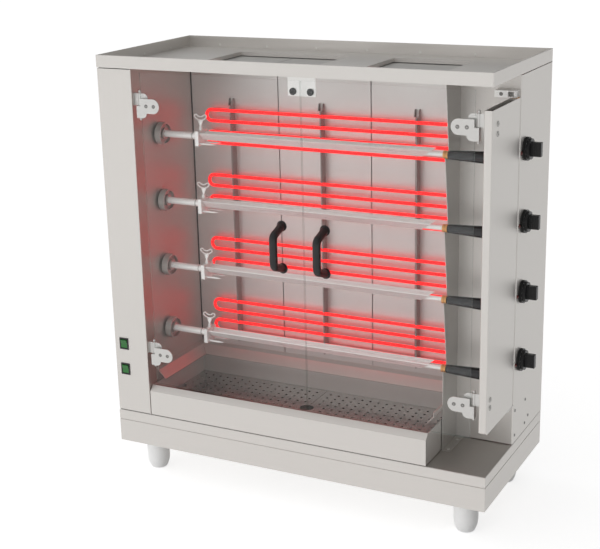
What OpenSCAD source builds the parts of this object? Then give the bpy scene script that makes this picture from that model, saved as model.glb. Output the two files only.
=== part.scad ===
// Upright chicken rotisserie oven in folded stainless sheet.
// Four motor-driven spits turn in front of four groups of glowing rod elements, behind two glass doors.
// A drip tray with perforated plates slides out below, and a narrow steel door on the right
// opens to the spit handles. Front is -Y, up is +Z, origin on the floor under the middle of the outline.

/* [Cabinet] */
// Width of the service column on the left
column_w = 103; // [95:1:160]
// Width of the roasting cavity between its side walls
cavity_w = 797; // [720:1:1000]
// Width of the control bay on the right
control_w = 150; // [146:1:200]
// Depth from the front plane to the back panels
cavity_d = 282; // [265:1:360]
// Depth of the space behind the back panels
rear_d = 168; // [130:1:220]
// Depth of the open compartment for the spit handles
compartment_d = 205; // [190:1:230]
// Height of the base box
base_h = 64; // [50:1:90]
// Height of the deck pan on the base box
deck_h = 27; // [20:1:40]
// Height of the shadow gaps between the panels
seam_gap = 2; // [1:0.5:3]
// Height of the lap inside the base box's upper edge
lap_h = 12; // [8:1:16]
// Height of the gallery rim above the top plate
rim_h = 30; // [20:1:50]
// Depth of the left cavity wall behind the back panels
wall_past = 20; // [10:1:30]
// Width of the fold along the left cavity wall's rear edge
wall_fold = 15; // [8:1:25]
// Width of the fold at the foot of the right cavity wall
foot_fold = 22; // [12:1:30]
// Height of the folded hem inside the rim's upper edge
hem_h = 8; // [5:1:12]
// Thickness of the sheet steel
sheet = 1.5; // [1:0.1:2]
// Outer radius of the folds of the deck and the covers
fold_r = 3; // [2.5:0.5:5]

/* [Feet] */
// Height of the feet
foot_h = 95; // [70:1:150]
// Diameter of a foot
foot_d = 62; // [50:1:80]
// Diameter of a foot where it meets the floor
foot_base_d = 42; // [36:1:50]
// Height of the rounded lower end of a foot
foot_taper_h = 34; // [20:1:50]
// Size of the lower edge's chamfer
foot_edge = 3; // [2:0.5:4]
// Distance of the foot centres from the cabinet's sides
foot_inset = 72; // [50:1:110]
// Diameter of the stud that holds a foot
stud_d = 10; // [8:1:14]
// Length of the stud inside the base box
stud_l = 18; // [10:1:25]

/* [Top vents] */
// Distance of the left vent from the left cavity wall
vent_left_set = 105; // [60:1:130]
// Width of the left vent
vent_left_w = 321; // [220:1:340]
// Distance of the right vent from the right cavity wall
vent_right_set = 30; // [15:1:60]
// Width of the right vent
vent_right_w = 213; // [120:1:230]
// Distance of the vents behind the front plane
vent_set = 130; // [90:1:160]
// Depth of the vents from front to back
vent_d = 245; // [150:1:260]
// Height of the folded flanges under the vents
vent_flange = 10; // [6:1:14]
// Gap between the vents' flanges and the back panels' folded tops
vent_room = 2; // [1:0.5:8]

/* [Spits] */
// Height of the lowest spit above the deck
first_spit_h = 217; // [205:1:260]
// Height from one spit to the next
spit_pitch = 178; // [165:1:220]
// Room above the highest spit, up to the top plate
head_h = 183; // [165:1:240]
// Distance of the spits behind the front plane
spit_set = 113; // [108:1:125]
// Diameter of the round drive end of a spit
spit_d = 18; // [16:1:20]
// Width of the square tang that the socket drives
tang_w = 10; // [8:1:11]
// Distance from the left cavity wall to the V bar
neck_l = 121; // [100:1:150]
// Width of each leg of the V bar
leg_w = 26; // [22:1:30]
// Thickness of the V bar's legs
leg_t = 3; // [2:0.5:4]
// Distance from the V bar's end to the right cavity wall
bar_end = 30; // [15:1:60]
// Length of the slanting cut at the V bar's right end
point_l = 32; // [15:1:45]
// Diameter of the journal that turns in the bush
journal_d = 12; // [10:1:13]
// Length of the journal rod welded into the V bar
weld_l = 70; // [50:1:100]
// Length of a spit handle
grip_l = 96; // [80:1:102]
// Diameter of a handle at its neck
grip_d = 21; // [19:1:26]
// Diameter of a handle at its free end
grip_end_d = 29; // [24:1:32]

/* [Spit drive] */
// Diameter of the drive cup
cup_d = 58; // [48:1:64]
// Length of the drive cup
cup_l = 17; // [15:1:22]
// Diameter of the hub inside the cup
hub_d = 30; // [26:1:34]
// Depth that the spit goes into the hub
hub_depth = 8; // [6:1:9]
// Length of the square tang
tang_l = 5; // [4:1:6]
// Wall of the cup's rim
cup_wall = 4; // [3:0.5:5]
// Diameter of the drive shaft
shaft_d = 12; // [10:1:14]
// Length of the drive shaft behind the cavity wall's face
shaft_l = 28; // [20:1:30]
// Diameter of the gearbox's bearing boss
boss_d = 26; // [20:1:30]
// Length of the boss in front of the cavity wall
boss_out = 4; // [2:0.5:6]
// Gap between a drive cup and its bearing boss
cup_gap = 1; // [0.5:0.1:2]
// Width and height of a gearbox
gearbox_w = 60; // [44:1:80]
// Length of a gearbox
gearbox_l = 38; // [32:1:44]
// Diameter of a motor
motor_d = 50; // [36:1:56]
// Length of a motor
motor_l = 42; // [30:1:46]
// Depth of the open seats in the cavity wall behind the bushes
seat_reach = 7; // [4:1:12]
// Diameter of a bush's shoulders
bush_d = 20; // [18:1:24]
// Diameter of the groove that sits on the cavity wall
groove_d = 16; // [15:0.5:17]
// Length of a bush
bush_l = 12; // [8:1:16]

/* [Forks] */
// Thickness of a fork's plate
fork_t = 10; // [9:0.5:14]
// Steel left around the V bar in a fork's plate
fork_wall = 4; // [3:0.5:6]
// Distance of a fork's plate from the V bar's left end
fork_set = 3; // [2:0.5:20]
// Depth of a fork's plate below the spit's axis
fork_drop = 22; // [20:1:28]
// Height of the boss on a fork for the wing screw
fork_boss_h = 5; // [3:1:6]
// Length of a tine
tine_l = 45; // [25:1:60]
// Diameter of a tine
tine_d = 5; // [4:0.5:6]
// Distance between the two tines
tine_pitch = 28; // [20:1:34]
// Diameter of the wing screw
screw_d = 6; // [5:0.5:7]
// Height of the wing's ears above the spit's axis
wing_rise = 59; // [55:1:64]
// Diameter of the wing's round underside
wing_w = 38; // [34:1:42]
// Diameter of the hollow in the wing's upper edge
wing_dish = 56; // [48:1:64]
// Height of the wing in its middle
wing_mid = 9; // [8:0.5:12]
// Width of the wing's edge around its slot
wing_wire = 3; // [2:0.5:3.5]
// Length of the neck under the wing
wing_neck = 8; // [4:1:9]
// Thickness of the wing
wing_t = 5; // [4:0.5:6]

/* [Elements] */
// Diameter of an element rod
rod_d = 9; // [7:0.5:11]
// Height between the rods of a group
rod_pitch = 29.7; // [24:0.1:34]
// Height of a group's top rod above the spit's axis
rod_rise = 41.5; // [30:0.5:55]
// Distance of the rods in front of the back panels
rod_set = 17; // [12:1:30]
// Distance of the bent ends from the left cavity wall
bend_set = 52; // [30:1:80]
// Length of the cold ends beyond the right cavity wall
cold_l = 28; // [15:1:45]
// Diameter of the terminal pins
terminal_d = 4; // [3:0.5:5]
// Length of the terminal pins
terminal_l = 10; // [6:1:15]
// Thickness of an element support
support_t = 3; // [2:0.5:5]
// Depth of an element support in front of the rods' axes
support_lip = 7; // [5:0.5:12]
// Width of a support's flange on the back panel
support_flange = 14; // [8:1:20]
// Height of a support above the highest rod
support_over = 12; // [8:1:25]
// Height of a support below the lowest rod
support_under = 25; // [10:1:35]
// Gap between two back panels
panel_gap = 2.5; // [1:0.5:5]

/* [Drip tray] */
// Height of the tray
tray_h = 81; // [65:1:90]
// Height of the tray's floor above the deck
tray_lift = 2; // [1.5:0.5:4]
// Width of the tray's runners
runner_w = 20; // [10:1:40]
// Distance of the runners' ends from the tray's front and from the back panels
runner_set = 30; // [15:1:60]
// Gap between the tray and the cavity walls
tray_gap = 2; // [1:0.5:4]
// Size of the slanting lip along the tray's front
lip = 14; // [10:1:20]
// Height of the turned-down edge behind the lip
lip_return = 16; // [8:1:25]
// Height of the perforated plates above the tray's floor
grid_h = 27; // [15:1:35]
// Gap around the perforated plates
grid_gap = 1; // [0.5:0.5:3]
// Diameter of the perforations
hole_d = 7; // [5:0.5:9]
// Distance from one perforation to the next
hole_pitch = 23.5; // [18:0.5:30]
// Plain edge around the perforations
hole_margin = 14; // [10:1:24]
// Diameter of the finger notches
notch_d = 36; // [28:1:44]
// Gap between the tray and the deflectors above it
deflector_gap = 7; // [3:1:12]
// Height of the deflectors' slope
deflector_drop = 24; // [15:1:30]
// Reach of the deflectors over the tray
deflector_run = 22; // [14:1:28]
// Height of the deflectors' flanges on the walls
deflector_flange = 10; // [6:1:16]
// Distance of the deflectors' front ends behind the front plane
deflector_set = 48; // [35:1:70]

/* [Glass doors] */
// Thickness of the glass
glass_t = 5; // [4:0.5:6]
// Distance of the glass behind the front plane
glass_set = 4; // [3.5:0.5:6]
// Gap between the tray and the glass
glass_sill = 10; // [5:1:20]
// Distance from the glass to the top plate's upper face
glass_head = 10; // [6:1:15]
// Distance of the doors' meeting edge to the right of the middle
meet_shift = 9; // [-20:1:20]
// Gap between the two doors
glass_meet = 3; // [2:0.5:5]
// Distance of the hinge pins from the walls that carry them
pin_set = 16; // [16:0.5:20]
// Distance of the hinge pins behind the front plane
pin_back = 13; // [12:0.5:14]
// Diameter of the hinge pins
pin_d = 5; // [4:0.5:6]
// Wall of the hinge knuckles
knuckle_wall = 3; // [2:0.5:3]
// Gap between the hinge knuckles and the glass
knuckle_gap = 1; // [0.5:0.1:2]
// Diameter of the balls on the hinge pins
ball_d = 8; // [7:0.5:10]
// Height of a hinge plate
hinge_h = 37; // [30:1:44]
// Height of the hinge lobes beyond the plate
lobe_h = 12; // [8:1:14]
// Width of the hinge lobes
lobe_w = 30; // [26:1:36]
// Length of a hinge from the wall to its round end
hinge_l = 78; // [60:1:95]
// Distance of the hinge plates from the glass's lower and upper edges
hinge_inset = 65; // [40:1:110]
// Thickness of the hinge plates
leaf_t = 3; // [2:0.5:3]
// Width of the neck between a hinge plate and its knuckle
neck_w = 9; // [7:0.5:10]
// Width of a hinge bracket's plate on the wall
ear_w = 15; // [13:0.5:20]
// Thickness of the hinge brackets
ear_t = 1.5; // [1:0.25:2]
// Length of a door handle
pull_l = 129; // [115:1:160]
// Distance that a handle stands out from the glass
pull_out = 56; // [46:1:62]
// Diameter of a handle
pull_d = 20; // [16:1:22]
// Swell of a handle in its bends
pull_swell = 0.1; // [0.08:0.01:0.3]
// Angle of a handle's legs from straight out
pull_lean = 19; // [10:1:30]
// Radius of the bends in a handle
pull_bend = 14; // [12:1:18]
// Distance of the handles from the doors' meeting edges
pull_set = 58.5; // [40:0.5:90]
// Height of the handles above the middle of the glass
pull_rise = 5; // [-60:1:60]
// Width of the catch plate
catch_w = 74; // [64:1:100]
// Height of the catch plate
catch_h = 48; // [40:1:60]
// Depth of the catch plate's flange under the top plate
catch_flange = 18; // [10:1:30]
// Diameter of the catch magnets
magnet_d = 17; // [12:1:20]
// Thickness of the catch magnets
magnet_t = 4; // [3:0.5:6]
// Bevel around a door magnet's face
magnet_edge = 1; // [0.5:0.5:2]
// Distance between the catch magnets
magnet_pitch = 46; // [30:1:46]
// Height of the magnets above the catch plate's lower edge
magnet_rise = 11; // [10:0.5:14]
// Gap between the magnets and the glass
magnet_gap = 0.5; // [0.4:0.1:1]

/* [Side door] */
// Thickness of the side door
side_t = 20; // [17:1:23]
// Distance of the side door above the deck
side_sill = 109; // [90:1:125]
// Distance of the side door below the top plate's upper face
side_head = 54; // [48:1:75]
// Distance of the pivots from the door's rear edge
pivot_set = 7; // [6:0.5:9]
// Diameter of the pivots
pivot_d = 8; // [6:0.5:9]
// Length of the pivots inside the door
pivot_l = 20; // [12:1:28]
// Length of the bosses that the pivots turn in
pivot_boss_l = 30; // [30:1:40]
// Radius of the door's lower front corner
side_corner = 8; // [4:1:12]
// Width of the pivot brackets
bracket_w = 58; // [45:1:70]
// Depth of the pivot brackets in front of the control bay
bracket_d = 24; // [22:1:30]
// Height of the upper pivot bracket
bracket_h = 16; // [10:1:24]
// Distance of the pivot brackets' ends from the cabinet's side
bracket_set = 5; // [2:0.5:8]
// Length of the opening in the upper bracket's front
bracket_open = 20; // [12:1:26]
// Height of the lower bracket's strap beside the door
strap_h = 24; // [15:1:40]
// Thickness of the strap and of the lower pivot plate
strap_t = 2; // [2:0.5:3]
// Gap between the side door and its brackets
pivot_gap = 1; // [0.5:0.1:2]
// Room for the door's rear edge to swing past the strap
swing_room = 0.8; // [0.6:0.1:2]

/* [Controls] */
// Diameter of a knob's skirt
knob_d = 57; // [54:1:59]
// Thickness of a knob's skirt
skirt_h = 8; // [5:1:10]
// Width of the groove around a knob's skirt
groove_w = 2; // [1:0.5:3]
// Diameter of a knob's dial
dial_d = 50; // [42:1:53]
// Thickness of a knob's dial
dial_h = 7; // [5:1:9]
// Length of a knob's bar
bar_l = 34; // [24:1:40]
// Width of a knob's bar
bar_w = 13; // [10:1:18]
// Height of a knob's bar above the dial
bar_h = 24; // [16:1:28]
// Distance of the knobs behind the control bay's front
knob_set = 42; // [40:1:60]
// Gap between a knob and the side panel
knob_gap = 1; // [0.5:0.1:2]
// Diameter of a knob's spindle
spindle_d = 6; // [5:0.5:8]
// Length of a spindle behind the side panel
spindle_l = 20; // [12:1:24]
// Width and height of a heat regulator
regulator_w = 44; // [36:1:56]
// Depth of a heat regulator
regulator_d = 36; // [30:1:45]
// Diameter of a pilot lamp
lamp_d = 8; // [6:0.5:10]
// Width of a pilot lamp's collar
lamp_collar = 1; // [0.5:0.5:2]
// Gap between a pilot lamp and the knob's skirt
lamp_gap = 1; // [0.5:0.5:2]
// Height of the pilot lamps below the knobs' axes
lamp_drop = 5; // [0:1:12]
// Distance of the rocker switches from the left side
switch_x = 30; // [22:1:70]
// Height of the lower switch above the deck
switch_h = 122; // [60:1:160]
// Height from one switch to the other
switch_pitch = 72; // [45:1:100]
// Width of a switch bezel
bezel_w = 27; // [24:1:34]
// Height of a switch bezel
bezel_h = 32; // [28:1:40]
// Thickness of a switch bezel
bezel_t = 2; // [1.5:0.5:2.5]
// Width of the bezel's frame around the rocker
bezel_frame = 3.5; // [3.5:0.5:6]
// Width of the bezel's edge on the panel
bezel_lap = 1.5; // [1:0.1:1.5]
// Depth of the pocket that the rocker tilts in
pocket_d = 10; // [9:0.5:14]
// Depth of a switch body behind the panel
switch_d = 26; // [20:1:32]
// Diameter of a rocker's trunnions
trunnion_d = 3; // [2:0.5:4]
// Length of a rocker's trunnions in the housing
trunnion_l = 1; // [0.6:0.1:1.2]
// Distance of a rocker's axis behind the column's front
rocker_set = 1; // [0.5:0.5:2]
// Tilt of a rocker from its middle
rocker_tilt = 8; // [5:0.5:9]
// Diameter of the cable gland
gland_d = 24; // [20:1:32]
// Distance that the gland stands out behind the cabinet
gland_out = 20; // [14:1:26]
// Diameter of the cable hole in the gland
cable_d = 12; // [9:0.5:13]
// Distance of the gland from the right side
gland_set = 130; // [60:1:300]

/* [Fits] */
// Radial clearance of a turning fit
running_fit = 0.05; // [0.02:0.01:0.09]
// Clearance of a sliding fit
slide_fit = 0.4; // [0.3:0.05:0.6]
// Clearance of a fixed piece in its hole
seat_fit = 0.1; // [0.05:0.05:0.2]

/* [Hidden] */
$fn = 48;
// Cuts run this far past the faces that they open
over = 1;
spit_count = 4;
panel_count = 3;
rods_per_group = 4;

body_w = column_w + cavity_w + control_w;
body_d = cavity_d + rear_d;
knob_out = knob_gap + skirt_h + dial_h + bar_h;
handle_out = pull_out - glass_set;
x_left = -(body_w + knob_out) / 2;
x_right = x_left + body_w;
x_wall_l = x_left + column_w;
x_wall_r = x_wall_l + cavity_w;
y_front = handle_out - (handle_out + body_d + gland_out) / 2;
y_cavity = y_front + cavity_d;
y_control = y_front + compartment_d;
y_back = y_front + body_d;
z_seam = foot_h + base_h;
z_deck = z_seam + deck_h;
z_roof = z_deck + first_spit_h + (spit_count - 1) * spit_pitch + head_h;
z_wall = z_roof - sheet;
z_cover = z_deck + seam_gap;
cover_h = z_wall - seam_gap - z_cover;
z_rim = z_roof + rim_h;

// Left and right ends of the two vents
vent_boxes = [
    [x_wall_l + vent_left_set, x_wall_l + vent_left_set + vent_left_w],
    [x_wall_r - vent_right_set - vent_right_w, x_wall_r - vent_right_set]];

// The spits are numbered from the lowest
spit_y = y_front + spit_set;
function spit_z(i) = z_deck + first_spit_h + (i - 1) * spit_pitch;
x_cup = x_wall_l + boss_out + cup_gap;
x_cup_end = x_cup + cup_l;
x_neck = x_cup_end - hub_depth;
x_bar = x_wall_l + neck_l;
x_bar_end = x_wall_r - bar_end;
x_grip = x_wall_r + sheet / 2 + bush_l / 2 + slide_fit;
leg_reach = leg_w / sqrt(2);
apex = spit_d / 2;
leg_top = leg_reach - apex + leg_t / sqrt(2);
x_fork = x_bar + fork_set;
fork_top = leg_top + slide_fit * sqrt(2) + fork_wall;

// The rods of each group, from the top one down
rod_y = y_cavity - rod_set;
support_d = rod_set + support_lip;
function rod_z(i, k) = spit_z(i) + rod_rise - k * rod_pitch;
panel_w = round(100 * cavity_w / panel_count) / 100;
z_panel = z_roof - vent_flange - vent_room;

z_tray = z_deck + tray_lift;
z_tray_top = z_tray + tray_h;
x_tray_l = x_wall_l + tray_gap;
x_tray_r = x_wall_r - tray_gap;
y_tray = y_cavity - tray_gap;
z_grid = z_tray + sheet + grid_h;
z_drip = z_tray_top + deflector_gap;

// The side door hangs in the plane of the right side
x_side = x_right - side_t;
pivot_x = x_right - side_t / 2;
y_side = y_control - strap_t - swing_room - norm([side_t / 2, pivot_set]) + pivot_set;
pivot_y = y_side - pivot_set;
z_side = z_deck + side_sill;
z_side_top = z_roof - side_head;

// The glass doors meet near the middle between the left wall and the side door
x_meet = (x_wall_l + x_side) / 2 + meet_shift;
y_glass = y_front + glass_set;
z_glass = z_tray_top + glass_sill;
z_glass_top = z_roof - glass_head;
pin_y = y_front + pin_back;
knuckle_r = pin_d / 2 + knuckle_wall;
glass_edge = pin_set + knuckle_r + knuckle_gap;
lobe_y = y_glass + glass_t + slide_fit;
hinge_heights = [z_glass + hinge_inset + hinge_h / 2, z_glass_top - hinge_inset - hinge_h / 2];
y_catch = y_glass + glass_t + magnet_gap + magnet_t;

knob_y = y_control + knob_set;
lamp_y = knob_y - knob_d / 2 - lamp_gap - lamp_collar - lamp_d / 2;
switch_heights = [z_deck + switch_h, z_deck + switch_h + switch_pitch];
cutout_w = bezel_w - 2 * bezel_lap;
cutout_h = bezel_h - 2 * bezel_lap;
rocker_w = bezel_w - 2 * bezel_frame;
rocker_h = bezel_h - 2 * bezel_frame;
gland_x = x_right - gland_set;
gland_z = foot_h + base_h / 2;

steel = "#cfccc8";
bright_steel = "#e4e3e0";
black = "#262626";
bronze = "#b07a3c";
red_hot = "#e4322d";
dark_metal = "#6e6b68";
white = "#f2f2f0";

// Block between two corners
module span(low, high) {
    translate(low) cube(high - low);
}

// Round bar along X
module bar_x(x0, x1, d) {
    translate([x0, 0, 0]) rotate([0, 90, 0]) cylinder(d = d, h = x1 - x0);
}

// Plate of an outline in Y and Z, from x on
module plate_x(x, t) {
    translate([x, 0, 0]) rotate([90, 0, 90]) linear_extrude(t) children();
}

// Plate of an outline in X and Z, from y on
module plate_y(y, t) {
    translate([0, y + t, 0]) rotate([90, 0, 0]) linear_extrude(t) children();
}

// Fold of a sheet around an upright edge, as a quarter of a tube
module fold(h) rotate_extrude(angle = 90) translate([fold_r - sheet, 0]) square([sheet, h]);

// Section of an upside-down pan: straight sides and two rounded upper corners
module pan_section(low, high, r) {
    translate(low) square([high[0] - low[0], high[1] - low[1] - r]);
    translate([low[0] + r, low[1]]) square([high[0] - low[0] - 2 * r, high[1] - low[1]]);
    for (u = [low[0] + r, high[0] - r]) translate([u, high[1] - r]) circle(r = r);
}

// Block with rounded upper edges
module pan(low, high, r) intersection() {
    plate_x(low[0], high[0] - low[0]) pan_section([low[1], low[2]], [high[1], high[2]], r);
    plate_y(low[1], high[1] - low[1]) pan_section([low[0], low[2]], [high[0], high[2]], r);
}

// One copy at each spit's axis
module at_spits() {
    for (i = [1:spit_count]) translate([0, spit_y, spit_z(i)]) children();
}

// One copy on the axis of each foot
module at_feet() {
    for (x = [x_left + foot_inset, x_right - foot_inset])
        for (y = [y_front + foot_inset, y_back - foot_inset]) translate([x, y, 0]) children();
}

// Sheet box that carries the cabinet, with a lap that stands up inside the deck's skirt
module base_box() color(steel) difference() {
    union() {
        span([x_left, y_front, foot_h], [x_right, y_back, z_seam - seam_gap]);
        span([x_left + sheet, y_front + sheet, foot_h], [x_right - sheet, y_back - sheet, z_deck - fold_r]);
    }
    span([x_left + sheet, y_front + sheet, foot_h + sheet],
         [x_right - sheet, y_back - sheet, z_seam - lap_h]);
    span([x_left + 2 * sheet, y_front + 2 * sheet, foot_h + sheet],
         [x_right - 2 * sheet, y_back - 2 * sheet, z_deck]);
    at_feet() translate([0, 0, foot_h - over]) cylinder(d = stud_d + 2 * seat_fit, h = sheet + 2 * over);
    translate([gland_x, y_back - sheet - over, gland_z]) rotate([-90, 0, 0])
        cylinder(d = gland_d - 4 + 2 * seat_fit, h = sheet + 2 * over);
}

// Upside-down pan that closes the base box, with two runners for the drip tray
module deck() color(steel) {
    difference() {
        pan([x_left, y_front, z_seam], [x_right, y_back, z_deck], fold_r);
        pan([x_left + sheet, y_front + sheet, z_seam - over],
            [x_right - sheet, y_back - sheet, z_deck - sheet], fold_r - sheet);
    }
    for (x = [x_wall_l + cavity_w / 4, x_wall_r - cavity_w / 4])
        span([x - runner_w / 2, y_front + runner_set, z_deck - sheet / 2],
             [x + runner_w / 2, y_cavity - runner_set, z_tray - slide_fit]);
}

// Moulded feet with a tapered end, each on a threaded stud
module feet() color(white) at_feet() rotate_extrude() polygon(concat(
    [[0, 0], [foot_base_d / 2 - foot_edge, 0]],
    [for (k = [foot_edge / foot_taper_h, 0.25, 0.45, 0.7, 1])
        [foot_d / 2 - (foot_d - foot_base_d) / 2 * pow(1 - k, 2), k * foot_taper_h]],
    [[foot_d / 2, foot_h], [stud_d / 2, foot_h], [stud_d / 2, foot_h + stud_l], [0, foot_h + stud_l]]));

// Left side and column front, folded from one sheet, with the two switch cut-outs
module left_cover() color(steel) difference() {
    translate([0, 0, z_cover]) {
        translate([x_left + fold_r, y_front + fold_r]) rotate([0, 0, 180]) fold(cover_h);
        span([x_left + fold_r, y_front, 0], [x_wall_l - sheet, y_front + sheet, cover_h]);
        span([x_left, y_front + fold_r, 0], [x_left + sheet, y_back - sheet, cover_h]);
    }
    for (z = switch_heights) translate([x_left + switch_x, y_front + sheet / 2, z])
        cube([cutout_w, sheet + 2 * over, cutout_h], center = true);
}

// Left wall of the cavity, with the holes for the gearbox bosses and a stiffening flange behind
module left_cavity_wall() color(steel) difference() {
    union() {
        span([x_wall_l - sheet, y_front, z_deck], [x_wall_l, y_cavity + wall_past, z_wall]);
        span([x_wall_l - wall_fold, y_cavity + wall_past - sheet, z_deck],
             [x_wall_l, y_cavity + wall_past, z_wall]);
    }
    at_spits() bar_x(x_wall_l - sheet - over, x_wall_l + over, boss_d + 2 * seat_fit);
}

// Three reflector panels side by side at the back of the cavity, their tops folded back under the vents
module back_panels() color(steel) for (i = [0:panel_count - 1]) {
    low = i == 0 ? x_wall_l : x_wall_l + i * panel_w + panel_gap / 2;
    high = i == panel_count - 1 ? x_wall_r : x_wall_l + (i + 1) * panel_w - panel_gap / 2;
    span([low, y_cavity, z_deck], [high, y_cavity + sheet, z_panel]);
    span([low, y_cavity, z_panel - sheet], [high, y_back - sheet, z_panel]);
}

// Right wall of the cavity. Its front edge has an open seat for each spit's bush,
// and slants forward above the seat to guide the spit down into it.
module right_cavity_wall() color(steel) {
    edge = spit_y - groove_d / 2;
    seat = spit_y + groove_d / 2 + seat_reach;
    seat_h = groove_d / 2;
    rear = y_cavity + sheet;
    difference() {
        plate_x(x_wall_r, sheet) polygon(concat(
            [[rear, z_wall], [rear, z_deck], [edge, z_deck]],
            [for (i = [1:spit_count]) each [[edge, spit_z(i) - seat_h], [seat, spit_z(i) + seat_h]]],
            [[edge, z_wall]]));
        at_spits() bar_x(x_wall_r - over, x_wall_r + sheet + over, groove_d + 2 * seat_fit);
        for (i = [1:spit_count]) for (k = [0:rods_per_group - 1]) translate([0, rod_y, rod_z(i, k)])
            bar_x(x_wall_r - over, x_wall_r + sheet + over, rod_d + 2 * seat_fit);
    }
    span([x_wall_r, edge, z_deck], [x_wall_r + foot_fold, y_control, z_deck + sheet]);
}

// Front wall and side panel of the control bay, folded from one sheet
module control_cover() color(steel) difference() {
    translate([0, 0, z_cover]) {
        translate([x_right - fold_r, y_control + fold_r]) rotate([0, 0, 270]) fold(cover_h);
        span([x_wall_r + sheet, y_control, 0], [x_right - fold_r, y_control + sheet, cover_h]);
        span([x_right - sheet, y_control + fold_r, 0], [x_right, y_back - sheet, cover_h]);
    }
    for (i = [1:spit_count]) {
        translate([0, knob_y, spit_z(i)]) bar_x(x_right - sheet - over, x_right + over, spindle_d + 2);
        translate([0, lamp_y, spit_z(i) - lamp_drop])
            bar_x(x_right - sheet - over, x_right + over, lamp_d + 2 * seat_fit);
    }
}

// Rear panel with a group of cooling slots behind the column and behind the control bay
module rear_panel() color(steel) difference() {
    slot_w = 70;
    slot_h = 5;
    slot_pitch = 20;
    slot_count = 8;
    span([x_left, y_back - sheet, z_deck], [x_right, y_back, z_wall]);
    for (x = [x_left + column_w / 2, x_right - control_w / 2])
        for (z = [z_deck + first_spit_h / 2, z_roof - head_h]) for (k = [0:slot_count - 1])
            translate([x - slot_w / 2, y_back - sheet - over, z + (k - slot_count / 2) * slot_pitch])
                cube([slot_w, sheet + 2 * over, slot_h]);
}

// Top plate, with a down-turned flange around each vent
module top_plate() color(steel) difference() {
    union() {
        span([x_left, y_front, z_wall], [x_right, y_back, z_roof]);
        for (v = vent_boxes)
            span([v[0] - sheet, y_front + vent_set - sheet, z_roof - vent_flange],
                 [v[1] + sheet, y_front + vent_set + vent_d + sheet, z_roof]);
    }
    for (v = vent_boxes)
        span([v[0], y_front + vent_set, z_roof - vent_flange - over],
             [v[1], y_front + vent_set + vent_d, z_roof + over]);
}

// Gallery rim around the top plate, its upper edge hemmed inwards
module top_rim() color(steel) difference() {
    hem = 2 * sheet;
    pan([x_left, y_front, z_roof], [x_right, y_back, z_rim], sheet);
    span([x_left + sheet, y_front + sheet, z_roof - over], [x_right - sheet, y_back - sheet, z_rim - hem_h]);
    span([x_left + hem, y_front + hem, z_roof - over], [x_right - hem, y_back - hem, z_rim + over]);
}

// Section of a deflector: a flange on the wall and a blade that slopes away from it
module deflector_section() {
    slope = norm([deflector_run, deflector_drop]);
    thick = sheet * slope / deflector_run;
    polygon([
        [0, deflector_drop + deflector_flange],
        [0, deflector_drop - thick],
        [deflector_run, -thick],
        [deflector_run, 0],
        [sheet, deflector_drop * (1 - sheet / deflector_run)],
        [sheet, deflector_drop + deflector_flange]]);
}

// Deflectors on the left, back and right walls that lead the fat into the tray, mitred in the corners
module drip_deflectors() color(steel) {
    z_low = z_drip - deflector_drop;
    tall = 3 * deflector_drop + deflector_flange;
    y_low = y_front + deflector_set;
    run = deflector_run;
    intersection() {
        translate([x_wall_l, y_low, z_drip]) rotate([90, 0, 180]) mirror([1, 0, 0])
            linear_extrude(y_cavity - y_low) deflector_section();
        translate([0, 0, z_low]) linear_extrude(tall) polygon([[x_wall_l, y_low], [x_wall_l + run, y_low],
            [x_wall_l + run, y_cavity - run], [x_wall_l, y_cavity]]);
    }
    intersection() {
        translate([x_wall_r, y_cavity, z_drip]) rotate([90, 0, 0]) mirror([1, 0, 0])
            linear_extrude(y_cavity - y_low) deflector_section();
        translate([0, 0, z_low]) linear_extrude(tall) polygon([[x_wall_r, y_low], [x_wall_r - run, y_low],
            [x_wall_r - run, y_cavity - run], [x_wall_r, y_cavity]]);
    }
    intersection() {
        translate([x_wall_l, y_cavity, z_drip]) rotate([90, 0, 90]) mirror([1, 0, 0])
            linear_extrude(cavity_w) deflector_section();
        translate([0, 0, z_low]) linear_extrude(tall) polygon([[x_wall_l, y_cavity], [x_wall_r, y_cavity],
            [x_wall_r - run, y_cavity - run], [x_wall_l + run, y_cavity - run]]);
    }
}

// Plate that hangs from the top plate behind the meeting edges of the glass doors
module door_catch_plate() color(steel) {
    low = x_meet - catch_w / 2;
    high = x_meet + catch_w / 2;
    span([low, y_catch, z_roof - catch_h], [high, y_catch + sheet, z_wall]);
    span([low, y_catch, z_wall - sheet], [high, y_catch + catch_flange, z_wall]);
}

// Round magnets on the catch plate, one for each glass door
module door_magnets() color(black) for (side = [-1, 1])
    translate([x_meet + side * magnet_pitch / 2, y_catch, z_roof - catch_h + magnet_rise])
        rotate([90, 0, 0]) rotate_extrude() polygon([
            [0, 0], [magnet_d / 2, 0], [magnet_d / 2, magnet_t - magnet_edge],
            [magnet_d / 2 - magnet_edge, magnet_t], [0, magnet_t]]);

// Upright strips on the back panels, notched from the front for the element rods
module element_supports() color(dark_metal) for (p = [0:panel_count - 1]) {
    x = x_wall_l + (p + 0.5) * panel_w - support_t / 2;
    low = rod_z(1, rods_per_group - 1) - support_under;
    high = rod_z(spit_count, 0) + support_over;
    difference() {
        union() {
            span([x, y_cavity - support_d, low], [x + support_t, y_cavity, high]);
            span([x + support_t - support_flange, y_cavity - sheet, low], [x + support_t, y_cavity, high]);
        }
        for (i = [1:spit_count]) for (k = [0:rods_per_group - 1]) translate([0, rod_y, rod_z(i, k)]) {
            bar_x(x - over, x + support_t + over, rod_d + 2 * seat_fit);
            translate([x - over, -support_d, -rod_d / 2 - seat_fit])
                cube([support_t + 2 * over, support_d, rod_d + 2 * seat_fit]);
        }
    }
}

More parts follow.
